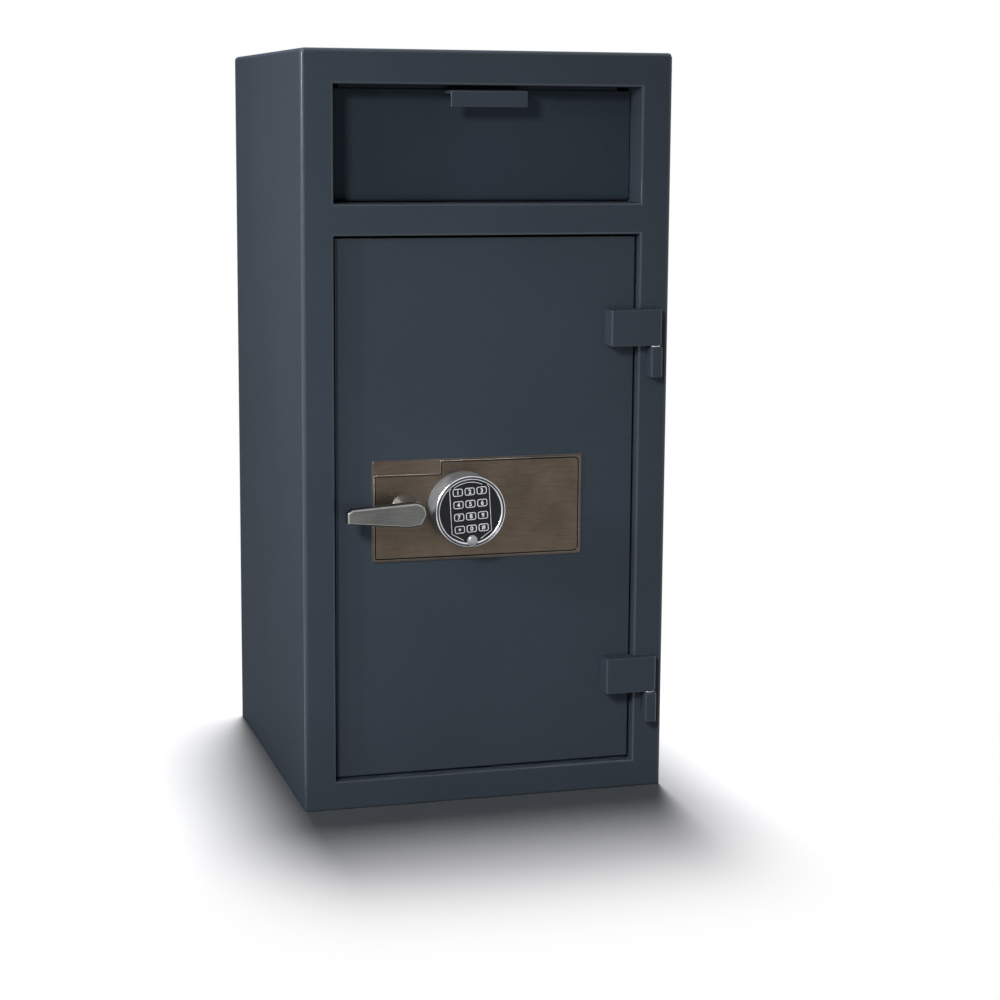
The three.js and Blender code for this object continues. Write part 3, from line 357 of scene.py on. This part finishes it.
def brushed(name, dark, light, smoothest, roughest):
    """Metal brushed from side to side: long fine scratches in colour, gloss and relief."""
    scratch_scale, scratch_stretch, cloud_scale = 1700, (0.03, 1, 1), 22
    scratch_depth, scratch_strength = 0.00003, 0.4
    finish, nodes, links, shader = new_finish(name)
    scratch = noise_on_piece(
        nodes, links, scratch_scale, detail=3, stretch=scratch_stretch, seed=4.0
    )
    cloud = noise_on_piece(nodes, links, cloud_scale, detail=3, seed=7.0)
    total = nodes.new("ShaderNodeMath")
    total.operation = "ADD"
    mean = nodes.new("ShaderNodeMath")
    mean.operation = "MULTIPLY"
    mean.inputs[1].default_value = 0.5
    links.new(scratch, total.inputs[0])
    links.new(cloud, total.inputs[1])
    links.new(total.outputs["Value"], mean.inputs[0])
    colour = shade_between(nodes, links, mean.outputs["Value"], dark, light, start=0.38, end=0.62)
    links.new(colour, shader.inputs["Base Color"])
    roughness = level_between(nodes, links, scratch, smoothest, roughest)
    links.new(roughness, shader.inputs["Roughness"])
    shader.inputs["Metallic"].default_value = 1.0
    bump = relief(nodes, links, scratch, scratch_depth, scratch_strength)
    links.new(bump, shader.inputs["Normal"])
    return finish


bronze = brushed(
    "brushed_bronze", from_srgb(78, 69, 60), from_srgb(96, 86, 76),
    smoothest=0.34, roughest=0.44,
)
# Paler bronze for the plate's rolled rim and its bead: painted highlight.
rim_bronze_painted_highlight = brushed(
    "bright_bronze_rim", from_srgb(92, 86, 80), from_srgb(112, 105, 98),
    smoothest=0.3, roughest=0.4,
)
bronze_edge = brushed(
    "grey_bronze_edge", from_srgb(70, 69, 69), from_srgb(84, 82, 81),
    smoothest=0.35, roughest=0.45,
)
# A flat near black line stands in for the pressed groove: painted shade.
dark_groove = brushed(
    "dark_groove", from_srgb(22, 19, 17), from_srgb(30, 27, 24),
    smoothest=0.45, roughest=0.55,
)

dress("lock_plate", "lock_cover", bronze, "bronze_plate", ease=0.0006, edge_finish=rim_bronze_painted_highlight)


def bare_path(name, points, closed):
    """A path of edges alone, for a line tool to run along."""
    mesh = bpy.data.meshes.new(name)
    edges = [(i, i + 1) for i in range(len(points) - 1)]
    if closed:
        edges.append((len(points) - 1, 0))
    mesh.from_pydata(points, edges, [])
    return put_in_scene(name, mesh)


def arc(centre_x, centre_y, radius, start, end, count):
    """Points along an arc in the flat, with its angles in degrees."""
    turn = [math.radians(start + (end - start) * i / count) for i in range(count + 1)]
    return [(centre_x + radius * math.cos(t), centre_y + radius * math.sin(t), 0.0) for t in turn]


def rounded_outline(x0, x1, y0, y1, radius, steps=6):
    """A rectangle in the flat with rounded corners."""
    return (
        arc(x1 - radius, y0 + radius, radius, -90, 0, steps)
        + arc(x1 - radius, y1 - radius, radius, 0, 90, steps)
        + arc(x0 + radius, y1 - radius, radius, 90, 180, steps)
        + arc(x0 + radius, y0 + radius, radius, 180, 270, steps)
    )


def node_tool(name, inputs):
    """An empty geometry tool with the given number inputs, and ways to add nodes and end it."""
    tree = bpy.data.node_groups.new(name, "GeometryNodeTree")
    tree.interface.new_socket("Geometry", in_out="INPUT", socket_type="NodeSocketGeometry")
    for label in inputs:
        tree.interface.new_socket(label, in_out="INPUT", socket_type="NodeSocketFloat")
    tree.interface.new_socket("Finish", in_out="INPUT", socket_type="NodeSocketMaterial")
    tree.interface.new_socket("Geometry", in_out="OUTPUT", socket_type="NodeSocketGeometry")
    given = tree.nodes.new("NodeGroupInput")
    result = tree.nodes.new("NodeGroupOutput")

    def add(kind, settings=None, **wires):
        node = tree.nodes.new(kind)
        for key, value in (settings or {}).items():
            setattr(node, key, value)
        for label, source in wires.items():
            socket = node.inputs[label.replace("_", " ")]
            if isinstance(source, bpy.types.NodeSocket):
                tree.links.new(source, socket)
            else:
                socket.default_value = source
        return node

    def close(geometry):
        real = add("GeometryNodeRealizeInstances", Geometry=geometry)
        painted = add(
            "GeometryNodeSetMaterial",
            Geometry=real.outputs["Geometry"], Material=given.outputs["Finish"],
        )
        tree.links.new(painted.outputs["Geometry"], result.inputs["Geometry"])
        return tree

    return given, add, close


def run_tool(piece, tree, **values):
    """Runs a geometry tool over a piece and keeps the result as its plain mesh."""
    tool = piece.modifiers.new("tool", "NODES")
    tool.node_group = tree
    for item in tree.interface.items_tree:
        label = item.name.replace(" ", "_")
        if item.in_out == "INPUT" and label in values:
            tool[item.identifier] = values[label]
    return bake(piece)


# Lines are drawn in the flat, x across and y up, then stood on the plate or the keypad's face.
given, add, close = node_tool("flat_line", ["Width", "Thickness"])
path = add("GeometryNodeMeshToCurve", Mesh=given.outputs["Geometry"])
level_path = add("GeometryNodeSetCurveNormal", {"mode": "Z_UP"}, Curve=path.outputs["Curve"])
section = add(
    "GeometryNodeCurvePrimitiveQuadrilateral", {"mode": "RECTANGLE"},
    Width=given.outputs["Width"], Height=given.outputs["Thickness"],
)
swept = add(
    "GeometryNodeCurveToMesh", Curve=level_path.outputs["Curve"],
    Profile_Curve=section.outputs["Curve"], Fill_Caps=True,
)
flat_line = close(swept.outputs["Mesh"])

stand_up = Matrix.Rotation(math.radians(90), 4, "X")
on_plate = Matrix.Translation((lever_x, plate_front, lock_height)) @ stand_up


def drawn_line(name, points, closed, width, thickness, finish, place, body):
    """A fine raised or printed line along a path."""
    piece = bare_path(name, points, closed)
    run_tool(piece, flat_line, Finish=finish, Width=width, Thickness=thickness)
    piece.data.transform(place)
    return fit(piece, body)


plate_low, plate_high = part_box("lock_plate")
left, right = plate_low.x - lever_x, plate_high.x - lever_x
bottom, top = plate_low.z - lock_height, plate_high.z - lock_height

groove_inset, groove_width = 0.0048, 0.0016
bead_inset, bead_width = groove_inset - 0.0015, 0.0013
rim_inset, rim_width, rim_corner = 0.0012, 0.0016, 0.0035
plate_line_height = 0.0002
label_wide, label_high = 0.0965, 0.0175
right_bend, left_bend = 0.006, 0.003


def plate_line(inset):
    """Runs round the plate at an inset, and steps in under the bare corner at upper left."""
    step_x = left + label_wide + inset - groove_inset
    step_y = top - label_high - inset
    wide_bend, tight_bend = right_bend + groove_inset - inset, left_bend + groove_inset - inset
    foot, head = bottom + inset, top - inset
    near, far = left + inset, right - inset
    return (
        [(step_x, head, 0), (step_x, step_y, 0), (near, step_y, 0)]
        + arc(near + tight_bend, foot + tight_bend, tight_bend, 180, 270, 5)
        + arc(far - wide_bend, foot + wide_bend, wide_bend, 270, 360, 6)
        + arc(far - wide_bend, head - wide_bend, wide_bend, 0, 90, 6)
    )


for name, points, width, finish in (
    ("lock_cover_groove", plate_line(groove_inset), groove_width, dark_groove),
    ("lock_cover_bead", plate_line(bead_inset), bead_width, rim_bronze_painted_highlight),
    (
        "lock_cover_rim",
        rounded_outline(
            left + rim_inset, right - rim_inset, bottom + rim_inset, top - rim_inset, rim_corner
        ),
        rim_width, bronze_edge,
    ),
):
    drawn_line(
        name, points, True, width, plate_line_height, finish, on_plate, "door"
    )

# ---- Rose, lever and spindle ----------------------------------------------------------------
# The rose is a turned and polished flared collar. The lever is a satin steel bar brushed along
# its length, tapered from a round hub to a square tip, and pinned to a steel spindle.

polished = plated_steel(
    "polished_chrome", from_srgb(196, 199, 204), from_srgb(216, 219, 224),
    smoothest=0.14, roughest=0.2,
)
satin = brushed(
    "satin_steel", from_srgb(84, 85, 84), from_srgb(106, 107, 105),
    smoothest=0.28, roughest=0.4,
)
# The lever's forward-facing edges take a paler steel, as painted highlight along its arrises.
bright_arris = plated_steel(
    "bright_arris", from_srgb(136, 137, 136), from_srgb(160, 161, 160),
    smoothest=0.2, roughest=0.28,
)

dress("handle_rose", "lever_rose", polished, "bright_chrome", crisp=40)
dress(
    "lever_handle", "lever_bar", satin, "satin_steel",
    ease=0.0006, crisp=40, edge_finish=bright_arris,
)
dress("handle_spindle", "lever_spindle", zinc_plate, "zinc_steel", ease=0.0006)

# ---- Keypad ---------------------------------------------------------------------------------
# A polished cast housing stands on the plate. Its black moulded face carries twelve rubber keys
# with a fine pale outline and plain numbers, and a small battery boss bites into the lower rim.

keypad_turn = math.radians(-3.5)
face_front, key_front = 0.0433, 0.0443
on_keypad = (
    Matrix.Translation((keypad_x, plate_front, lock_height))
    @ Matrix.Rotation(keypad_turn, 4, "Y") @ stand_up
)


def moulded(name, colour, rough, grain_scale, grain_depth, gloss):
    """A cast or moulded skin with a fine spark grain."""
    colour_spread, rough_spread, grain_strength = 0.1, 0.04, 0.3
    finish, nodes, links, shader = new_finish(name)
    grain = noise_on_piece(nodes, links, grain_scale, detail=2, seed=6.0)
    darker, paler = scaled(colour, 1 - colour_spread), scaled(colour, 1 + colour_spread)
    links.new(shade_between(nodes, links, grain, darker, paler), shader.inputs["Base Color"])
    roughness = level_between(nodes, links, grain, rough - rough_spread, rough + rough_spread)
    links.new(roughness, shader.inputs["Roughness"])
    shader.inputs["Specular IOR Level"].default_value = gloss
    bump = relief(nodes, links, grain, grain_depth, grain_strength)
    links.new(bump, shader.inputs["Normal"])
    return finish


black_face = moulded(
    "black_moulding", from_srgb(17, 17, 21),
    rough=0.36, grain_scale=1800, grain_depth=0.00004, gloss=0.2,
)
key_rubber = moulded(
    "key_rubber", from_srgb(23, 23, 27),
    rough=0.6, grain_scale=2500, grain_depth=0.00005, gloss=0.2,
)
pale_print = moulded(
    "pale_print", from_srgb(226, 228, 230),
    rough=0.5, grain_scale=2500, grain_depth=0.00001, gloss=0.3,
)
knurled = moulded(
    "knurled_button", from_srgb(150, 152, 154),
    rough=0.35, grain_scale=900, grain_depth=0.0004, gloss=0.5,
)
knurled.node_tree.nodes["Principled BSDF"].inputs["Metallic"].default_value = 1.0

# Three tones of one chrome for the keypad ring, as painted reflection and highlight.
dark_chrome = plated_steel(
    "dark_chrome", from_srgb(62, 63, 66), from_srgb(80, 81, 84),
    smoothest=0.2, roughest=0.28,
)
chrome_painted_highlight_rims = plated_steel(
    "bright_chrome_lip", from_srgb(196, 198, 202), from_srgb(222, 224, 228),
    smoothest=0.1, roughest=0.16,
)
chrome_wall_painted_grey = plated_steel(
    "satin_chrome_wall", from_srgb(118, 120, 124), from_srgb(132, 134, 138),
    smoothest=0.4, roughest=0.46,
)

# Painted highlight and reflection: one chrome ring takes three tones by place, pale on the
# bezel's two narrow rims, dark on the dished band between them, and mid grey on the wall.
rims_rise, outer_rim, inner_rim, wall_reach = 0.0432, 0.0465, 0.0443, 0.0475
ring = dress("keypad_housing", "keypad_ring", dark_chrome, "bright_chrome", crisp=40)
ring.data.materials.append(chrome_painted_highlight_rims)
ring.data.materials.append(chrome_wall_painted_grey)
to_face = on_keypad.inverted()
for face in ring.data.polygons:
    spot = to_face @ face.center
    reach = math.hypot(spot.x, spot.y)
    takes_painted_highlight = spot.z > rims_rise and (reach > outer_rim or reach < inner_rim)
    face.material_index = 2 if takes_painted_highlight else 3 if reach > wall_reach else 0
dress("keypad_face", "keypad_panel", black_face, "black_face", ease=0.0003, steps=1)
dress("keypad_boss", "battery_boss", knurled, "satin_steel", crisp=40)
dress("keypad_lead", "keypad_wire", black_face, "lead_sheath", crisp=40)

pitch_across, pitch_down, grid_rise = 0.0165, 0.0168, 0.0022
key_half_width, key_half_height, key_corner = 0.0071, 0.0053, 0.003
outline_inset, outline_width, ink_thickness, mark_height = 0.0007, 0.001, 0.00012, 0.0056
key_marks = [["1", "2", "3"], ["4", "5", "6"], ["7", "8", "9"], ["*", "0", "#"]]
mark_names = {"*": "star", "#": "hash"}


def number_mesh(name, mark, height, thickness, finish):
    """A plain number cut from thin sheet, centred on its own middle."""
    capital_share, stroke_share = 0.7, 0.035
    words = bpy.data.curves.new(name, "FONT")
    words.body = mark
    words.size = height / capital_share
    words.extrude = thickness / 2
    words.offset = height * stroke_share
    words.align_x = "CENTER"
    sign = put_in_scene(name, words)
    graph = bpy.context.evaluated_depsgraph_get()
    mesh = bpy.data.meshes.new_from_object(sign.evaluated_get(graph), depsgraph=graph)
    bpy.data.objects.remove(sign)
    spans = [[v.co[i] for v in mesh.vertices] for i in range(3)]
    middle = [(min(span) + max(span)) / 2 for span in spans]
    mesh.transform(Matrix.Translation([-c for c in middle]))
    mesh.materials.clear()
    mesh.materials.append(finish)
    return put_in_scene(name, mesh)


outline_x, outline_y = key_half_width - outline_inset, key_half_height - outline_inset
key_outline = rounded_outline(
    -outline_x, outline_x, -outline_y, outline_y, key_corner - outline_inset, steps=4
)
for row, marks in enumerate(key_marks):
    for column, mark in enumerate(marks):
        key = f"key_{mark_names.get(mark, mark)}"
        x, y = (column - 1) * pitch_across, grid_rise + (1.5 - row) * pitch_down
        on_key = on_keypad @ Matrix.Translation((x, y, key_front))
        dress(key, f"{key}_cap", key_rubber, "key_rubber", crisp=40)
        drawn_line(
            f"{key}_outline", key_outline, True, outline_width, ink_thickness,
            pale_print, on_key, key,
        )
        number = number_mesh(f"{key}_mark", mark, mark_height, ink_thickness, pale_print)
        number.data.transform(on_key)
        fit(number, key)

# A pale line runs down each side of the keys to the boss, and an arc of it over the top row.
frame_line_width, side_x, side_top, side_foot = 0.0008, 0.0274, 0.0293, -0.0282
boss_x, boss_y = 0.0115, -0.0382
hook_radius, hook_lean = 0.0045, 25
arc_radius, arc_start, arc_end = 0.0397, 63, 122
on_face = on_keypad @ Matrix.Translation((0, 0, face_front))
for side, name in ((-1, "left"), (1, "right")):
    points = arc(
        side * (side_x - hook_radius), side_top, hook_radius,
        90 - side * hook_lean, 90 - side * 90, 4,
    )
    points += [(side * side_x, side_foot, 0), (side * boss_x, boss_y, 0)]
    drawn_line(
        f"keypad_side_line_{name}", points, False, frame_line_width, ink_thickness,
        pale_print, on_face, "door",
    )
drawn_line(
    "keypad_top_line", arc(0, 0, arc_radius, arc_start, arc_end, 16), False,
    frame_line_width, ink_thickness, pale_print, on_face, "door",
)

# ---- Inside of the door ---------------------------------------------------------------------
# A folded pan welded to the slab, closed by a screwed-on cover, holds the bolt bar, the cam and
# the lock. The dead bar on the hinge side hooks behind the frame when the door is shut.

yellow_brass = plated_steel(
    "turned_brass", from_srgb(150, 120, 68), from_srgb(186, 152, 92),
    smoothest=0.22, roughest=0.34,
)

dress("door_pan", "door_pan_sheet", inner_paint, "inner_paint")
dress("door_pan_cover", "door_pan_lid", inner_paint, "inner_paint", ease=0.0004, steps=1)
dress("dead_bar", "dead_bar_strip", zinc_plate, "zinc_steel", ease=0.0008)
dress("lock_case", "lock_body", zinc_plate, "zinc_steel", ease=0.0012)
dress("lock_bolt", "lock_tongue", yellow_brass, "brass_bearing", ease=0.0006, crisp=40)
for level in ("upper", "lower"):
    dress(
        f"bolt_guide_{level}", f"guide_stud_{level}", zinc_plate, "zinc_steel", ease=0.0005
    )

# Low cheese head screws, each with a slot, hold the cover to the pan's flanges.
head_radius, head_height, head_sides = 0.0042, 0.0014, 24
slot_width, slot_radii, slot_rise = 0.0011, 3.0, 0.55
spin_most, spin_seed = 3.1, 4
given, add, close = node_tool("slotted_screws", ["Head Radius", "Head Height", "Slot Width"])


def times(source, factor):
    """A wire that carries a number of the tool times a factor."""
    product = add("ShaderNodeMath", {"operation": "MULTIPLY"}, Value=source)
    product.inputs[1].default_value = factor
    return product.outputs["Value"]


head = add(
    "GeometryNodeMeshCylinder", Vertices=head_sides,
    Radius=given.outputs["Head Radius"], Depth=given.outputs["Head Height"],
)
slot_size = add(
    "ShaderNodeCombineXYZ", X=times(given.outputs["Head Radius"], slot_radii),
    Y=given.outputs["Slot Width"], Z=given.outputs["Head Height"],
)
slot_box = add("GeometryNodeMeshCube", Size=slot_size.outputs["Vector"])
slot_place = add("ShaderNodeCombineXYZ", Z=times(given.outputs["Head Height"], slot_rise))
raised = add(
    "GeometryNodeTransform",
    Geometry=slot_box.outputs["Mesh"], Translation=slot_place.outputs["Vector"],
)
cut = add(
    "GeometryNodeMeshBoolean", {"operation": "DIFFERENCE", "solver": "EXACT"},
    Mesh_1=head.outputs["Mesh"], Mesh_2=raised.outputs["Geometry"],
)
spin = add("FunctionNodeRandomValue", {"data_type": "FLOAT"}, Seed=spin_seed)
most = next(socket for socket in spin.inputs if socket.name == "Max" and socket.type == "VALUE")
most.default_value = spin_most
spun = next(socket for socket in spin.outputs if socket.type == "VALUE")
turn_by = add("ShaderNodeCombineXYZ", Z=spun)
placed = add(
    "GeometryNodeInstanceOnPoints", Points=given.outputs["Geometry"],
    Instance=cut.outputs["Mesh"], Rotation=turn_by.outputs["Vector"],
)
slotted_screws = close(placed.outputs["Instances"])

lid_low, lid_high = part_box("door_pan_cover")
screw_inset, rows = 0.009, 4
left_column, right_column = lid_low.x + screw_inset, lid_high.x - screw_inset
lowest_row, highest_row = lid_low.z + screw_inset, lid_high.z - screw_inset
spots = [
    (x, lowest_row + (highest_row - lowest_row) * row / (rows - 1))
    for x in (left_column, right_column) for row in range(rows)
]
spots += [((lid_low.x + lid_high.x) / 2, z) for z in (lowest_row, highest_row)]
points = bpy.data.meshes.new("lid_screws")
points.from_pydata([(x, -z, 0) for x, z in spots], [], [])
screws = run_tool(
    put_in_scene("lid_screws", points), slotted_screws, Finish=zinc_plate,
    Head_Radius=head_radius, Head_Height=head_height, Slot_Width=slot_width,
)
lay_on_lid = Matrix.Rotation(math.radians(-90), 4, "X")
screws.data.transform(Matrix.Translation((0, lid_high.y + head_height / 2, 0)) @ lay_on_lid)
shade(screws, 30)
fit(screws, "door")

# ---- Boltwork -------------------------------------------------------------------------------
# The cam on the spindle drives a pin on the angle bar, and the bar throws three turned and
# plated bolts out of the door's edge.

dress("bolt_cam", "bolt_cam_plate", zinc_plate, "zinc_steel", crisp=30)
dress("bolt_bar", "bolt_bar_angle", zinc_plate, "zinc_steel", crisp=30)
dress("follower_pin", "cam_follower", zinc_plate, "zinc_steel", ease=0.0004)
for level in ("top", "middle", "bottom"):
    dress(f"locking_bolt_{level}", f"bolt_round_{level}", polished, "bright_chrome", crisp=40)

# ---- Studio ---------------------------------------------------------------------------------
# A pale floor under soft light from the upper left and from overhead, with white all round. The
# overhead lamp hangs behind the safe, and draws the soft shadow in front of its foot.


def seen_directly(nodes, links):
    """1 for what the camera sees, also in a mirror or through glass."""
    path = nodes.new("ShaderNodeLightPath")
    total = path.outputs["Is Camera Ray"]
    for other in ("Is Glossy Ray", "Is Transmission Ray"):
        most = nodes.new("ShaderNodeMath")
        most.operation = "MAXIMUM"
        links.new(total, most.inputs[0])
        links.new(path.outputs[other], most.inputs[1])
        total = most.outputs["Value"]
    return total


def mixed_shader(nodes, links, amount, first, second):
    """The first shader where the amount is 0, and the second where it is 1."""
    mixed = nodes.new("ShaderNodeMixShader")
    links.new(amount, mixed.inputs["Fac"])
    links.new(first, mixed.inputs[1])
    links.new(second, mixed.inputs[2])
    return mixed.outputs["Shader"]


# The floor turns to pure white outside the shadow. Light that bounces off it onto the safe
# meets a darker grey, so that the foot of the safe stays as deep in tone as its top.
floor_reach, white_from, white_at = 40.0, 0.52, 0.92
floor_colour, bounce_colour = (0.84, 0.84, 0.85, 1), (0.2, 0.2, 0.2, 1)
floor_finish = bpy.data.materials.new("pale_floor")
floor_finish.use_nodes = True
nodes, links = floor_finish.node_tree.nodes, floor_finish.node_tree.links
nodes.clear()
floor_place = nodes.new("ShaderNodeTexCoord")
distance = nodes.new("ShaderNodeVectorMath")
distance.operation = "LENGTH"
links.new(floor_place.outputs["Object"], distance.inputs[0])
fade = nodes.new("ShaderNodeMapRange")
fade.interpolation_type = "SMOOTHSTEP"
fade.inputs["From Min"].default_value, fade.inputs["From Max"].default_value = white_from, white_at
links.new(distance.outputs["Value"], fade.inputs["Value"])
matte = nodes.new("ShaderNodeBsdfDiffuse")
matte.inputs["Color"].default_value = floor_colour
white = nodes.new("ShaderNodeEmission")
pale = mixed_shader(
    nodes, links, fade.outputs["Result"], matte.outputs["BSDF"], white.outputs["Emission"]
)
dim = nodes.new("ShaderNodeBsdfDiffuse")
dim.inputs["Color"].default_value = bounce_colour
surface = mixed_shader(nodes, links, seen_directly(nodes, links), dim.outputs["BSDF"], pale)
out = nodes.new("ShaderNodeOutputMaterial")
links.new(surface, out.inputs["Surface"])

floor_mesh = bpy.data.meshes.new("studio_floor")
corners = [
    (x * floor_reach, y * floor_reach, 0) for x, y in ((-1, -1), (1, -1), (1, 1), (-1, 1))
]
floor_mesh.from_pydata(corners, [], [(0, 1, 2, 3)])
floor_mesh.materials.append(floor_finish)
floor = put_in_scene("studio_floor", floor_mesh)

sky_colour, sky_strength = (0.93, 0.96, 1.0, 1), 0.07
world = bpy.data.worlds.new("studio_world")
bpy.context.scene.world = world
world.use_nodes = True
nodes, links = world.node_tree.nodes, world.node_tree.links
nodes.clear()
soft = nodes.new("ShaderNodeBackground")
soft.inputs["Color"].default_value = sky_colour
soft.inputs["Strength"].default_value = sky_strength
clear = nodes.new("ShaderNodeBackground")
clear.inputs["Color"].default_value = (1, 1, 1, 1)
surround = mixed_shader(
    nodes, links, seen_directly(nodes, links),
    soft.outputs["Background"], clear.outputs["Background"],
)
out = nodes.new("ShaderNodeOutputWorld")
links.new(surround, out.inputs["Surface"])


def soft_lamp(name, place, aim, wide, deep, power):
    """A rectangular lamp that looks at a point, with its sizes in metres and power in watts."""
    lamp = bpy.data.lights.new(name, "AREA")
    lamp.shape = "RECTANGLE"
    lamp.size, lamp.size_y = wide, deep
    lamp.energy = power
    held = put_in_scene(name, lamp)
    held.location = place
    held.rotation_euler = (Vector(aim) - Vector(place)).to_track_quat("-Z", "Y").to_euler()
    return held


key_lamp = soft_lamp(
    "key_lamp", place=(-1.65, -2.4, 1.75), aim=(0, -0.25, 0.24), wide=0.5, deep=0.5, power=6.6
)
key_lamp.data.spread = math.radians(60)
side_lamp = soft_lamp(
    "side_lamp", place=(-1.3, -0.45, 1.8), aim=(-0.25, -0.1, 0.75), wide=0.6, deep=0.6, power=7
)
fill_lamp = soft_lamp(
    "fill_lamp", place=(-0.3, -2.9, 0.32), aim=(0, 0, 0.1), wide=1.6, deep=0.6, power=14
)
# The strip and the edge lamp draw the bright line down the near corner, strongest at its top.
strip_lamp = soft_lamp(
    "strip_lamp", place=(-1.38, -0.94, 0.55), aim=(-0.25, -0.29, 0.55),
    wide=0.1, deep=0.9, power=2.0,
)
edge_lamp = soft_lamp(
    "edge_lamp", place=(-1.52, -0.6, 1.03), aim=(-0.25, -0.25, 0.98),
    wide=0.12, deep=0.16, power=10,
)
back_lamp = soft_lamp(
    "back_lamp", place=(2.0, 1.5, 1.5), aim=(0, 0, 0.5), wide=0.8, deep=0.8, power=22
)
overhead = soft_lamp(
    "overhead_lamp", place=(0.2, 1.35, 6.0), aim=(0.2, 1.35, 0), wide=1.0, deep=2.7, power=500
)
overhead.data.shape = "ELLIPSE"
fill_lamp.visible_glossy = overhead.visible_glossy = False

# All but the overhead lamp are kept off the floor, so that the shadow at the foot stays deep.
flagged = bpy.data.collections.new("flagged_floor")
flagged.objects.link(floor)
flagged.collection_objects[0].light_linking.link_state = "EXCLUDE"
for lamp in (key_lamp, side_lamp, fill_lamp, strip_lamp, edge_lamp, back_lamp):
    lamp.light_linking.receiver_collection = flagged

# A small lamp from the upper left reaches only the keypad ring, for its glint.
bright_work = bpy.data.collections.new("bright_work")
bright_work.objects.link(ring)
glint_lamp = soft_lamp(
    "glint_lamp", place=(-0.95, -0.42, 0.9), aim=(keypad_x, -0.26, lock_height),
    wide=0.32, deep=0.32, power=62,
)
glint_lamp.light_linking.receiver_collection = bright_work

# ---- Camera ---------------------------------------------------------------------------------
# A long lens from the left of the door, a little above the lock, looking slightly down. Its
# place and its three turns were solved from the corners of the safe.

camera_place = (-0.8083, -3.0773, 0.9271)
yaw, pitch, roll = 0.284, 0.1558, 0.0071
focal_length, sensor_width, shift_up = 79.33, 36, -0.035
nearest, farthest = 0.05, 200
forward = Vector(
    (math.sin(yaw) * math.cos(pitch), math.cos(yaw) * math.cos(pitch), -math.sin(pitch))
)
across = Vector((math.cos(yaw), -math.sin(yaw), 0))
upward = across.cross(forward)
right_hand = math.cos(roll) * across + math.sin(roll) * upward
head_up = -math.sin(roll) * across + math.cos(roll) * upward
lens = bpy.data.cameras.new("camera")
lens.lens, lens.sensor_width, lens.shift_y = focal_length, sensor_width, shift_up
lens.clip_start, lens.clip_end = nearest, farthest
camera = put_in_scene("camera", lens)
turned = Matrix((right_hand, head_up, -forward)).transposed().to_4x4()
camera.matrix_world = Matrix.Translation(camera_place) @ turned
bpy.context.scene.camera = camera
bpy.context.scene.view_settings.view_transform = "Standard"
